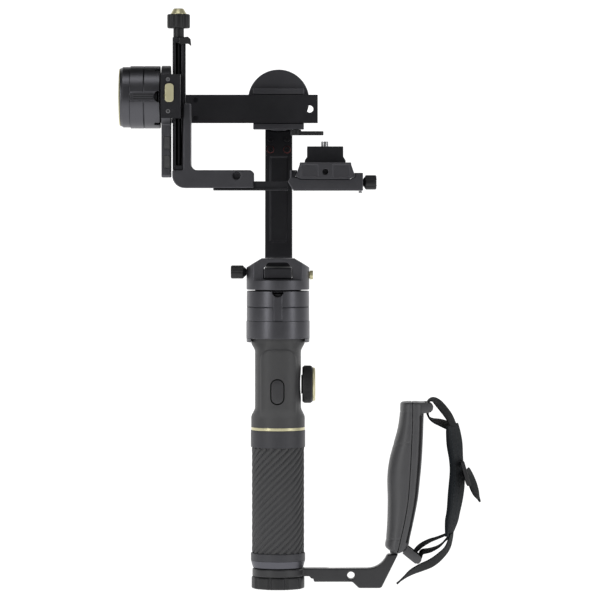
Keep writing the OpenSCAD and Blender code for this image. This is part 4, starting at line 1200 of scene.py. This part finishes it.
def stuffed(obj, pressure):
    """Lets cloth take up its filling, held at the sewn lines, and keeps small movements only."""
    rest = [v.co.copy() for v in obj.data.vertices]
    sewn = obj.vertex_groups.new(name="sewn")
    held = [i for i in range(len(rest)) if i % pad_ring % 29 in seam_columns
            or i < 2 * pad_ring or i >= len(rest) - 2 * pad_ring]
    sewn.add(held, 1.0, "REPLACE")
    cloth = obj.modifiers.new("filling", "CLOTH")
    cloth.settings.quality = 6
    cloth.settings.mass = 0.25
    cloth.settings.tension_stiffness = 12
    cloth.settings.bending_stiffness = 0.4
    cloth.settings.use_pressure = True
    cloth.settings.uniform_pressure_force = pressure
    cloth.settings.vertex_group_mass = "sewn"
    cloth.settings.effector_weights.gravity = 0
    cloth.point_cache.frame_start, cloth.point_cache.frame_end = 1, settle_frames
    for number in range(1, settle_frames + 1):
        bpy.context.scene.frame_set(number)
    baked(obj)
    for vertex, start in zip(obj.data.vertices, rest):
        move = vertex.co - start
        if move.length > longest_move:
            vertex.co = start + move.normalized() * longest_move
    obj.vertex_groups.clear()
    bpy.context.scene.frame_set(1)


stuffed(pad, 4)
finished(pad, "nylon_webbing", "sling", "strap_pad")

tree, given = growing_tree("stitch_rows", "Stitch Pitch", "Stitch Length", "Thread Radius")
curve = add(tree, "GeometryNodeMeshToCurve", links=[(given.outputs["Geometry"], "Mesh")])
spaced = add(tree, "GeometryNodeResampleCurve", mode="LENGTH", links=[
    (curve.outputs[0], "Curve"), (given.outputs["Stitch Pitch"], "Length")])
thread = add(tree, "GeometryNodeMeshCylinder", Vertices=6, links=[
    (given.outputs["Thread Radius"], "Radius"), (given.outputs["Stitch Length"], "Depth")])
tangent = add(tree, "GeometryNodeInputTangent")
aligned = add(tree, "FunctionNodeAlignRotationToVector", axis="Z",
              links=[(tangent.outputs[0], "Vector")])
sewing = add(tree, "GeometryNodeInstanceOnPoints", links=[
    (spaced.outputs[0], "Points"), (thread.outputs[0], "Instance"),
    (aligned.outputs[0], "Rotation")])
sewing_thread, thread_tree, shader = finish_of("bonded_nylon_thread")
place, _ = grain_bump(thread_tree, shader, 0.15, 0.03)
mottle(thread_tree, shader, place, "#161f25", "#1f2a31", 1, 0.6, 0.75)
close_tree(tree, sewing.outputs[0], sewing_thread)
seam_points, seam_edges = [], []
for column in (5, 14, 23, 34, 43, 52):
    for j in range(2, len(pad_rings) - 2):
        point = pad.data.vertices[j * pad_ring + column].co
        if j > 2:
            seam_edges.append((len(seam_points) - 1, len(seam_points)))
        seam_points.append(point[:])
seed_mesh = bpy.data.meshes.new("pad_seams")
seed_mesh.from_pydata(seam_points, seam_edges, [])
seed = bpy.data.objects.new("pad_stitches", seed_mesh)
bpy.context.scene.collection.objects.link(seed)
modifier = seed.modifiers.new("sew", "NODES")
modifier.node_group = tree
for item in tree.interface.items_tree:
    if item.name in ("Stitch Pitch", "Stitch Length", "Thread Radius"):
        modifier[item.identifier] = {"Stitch Pitch": 3.1, "Stitch Length": 2.2,
                                     "Thread Radius": 0.24}[item.name] * mm
baked(seed)
finished(seed, "nylon_webbing", "sling")
edged("strap_buckle", 0.7, black_nylon, "sling")


# ---------------------------------------------------------------- Foot knob
# A fluted nylon hand nut under the grip. Its brass-threaded stud runs up through the sling
# arm's ring into the end cap, and its own foot is tapped for a tripod.
edged("base_knob", 0.6, black_nylon, "foot_knob", sharpest=24)
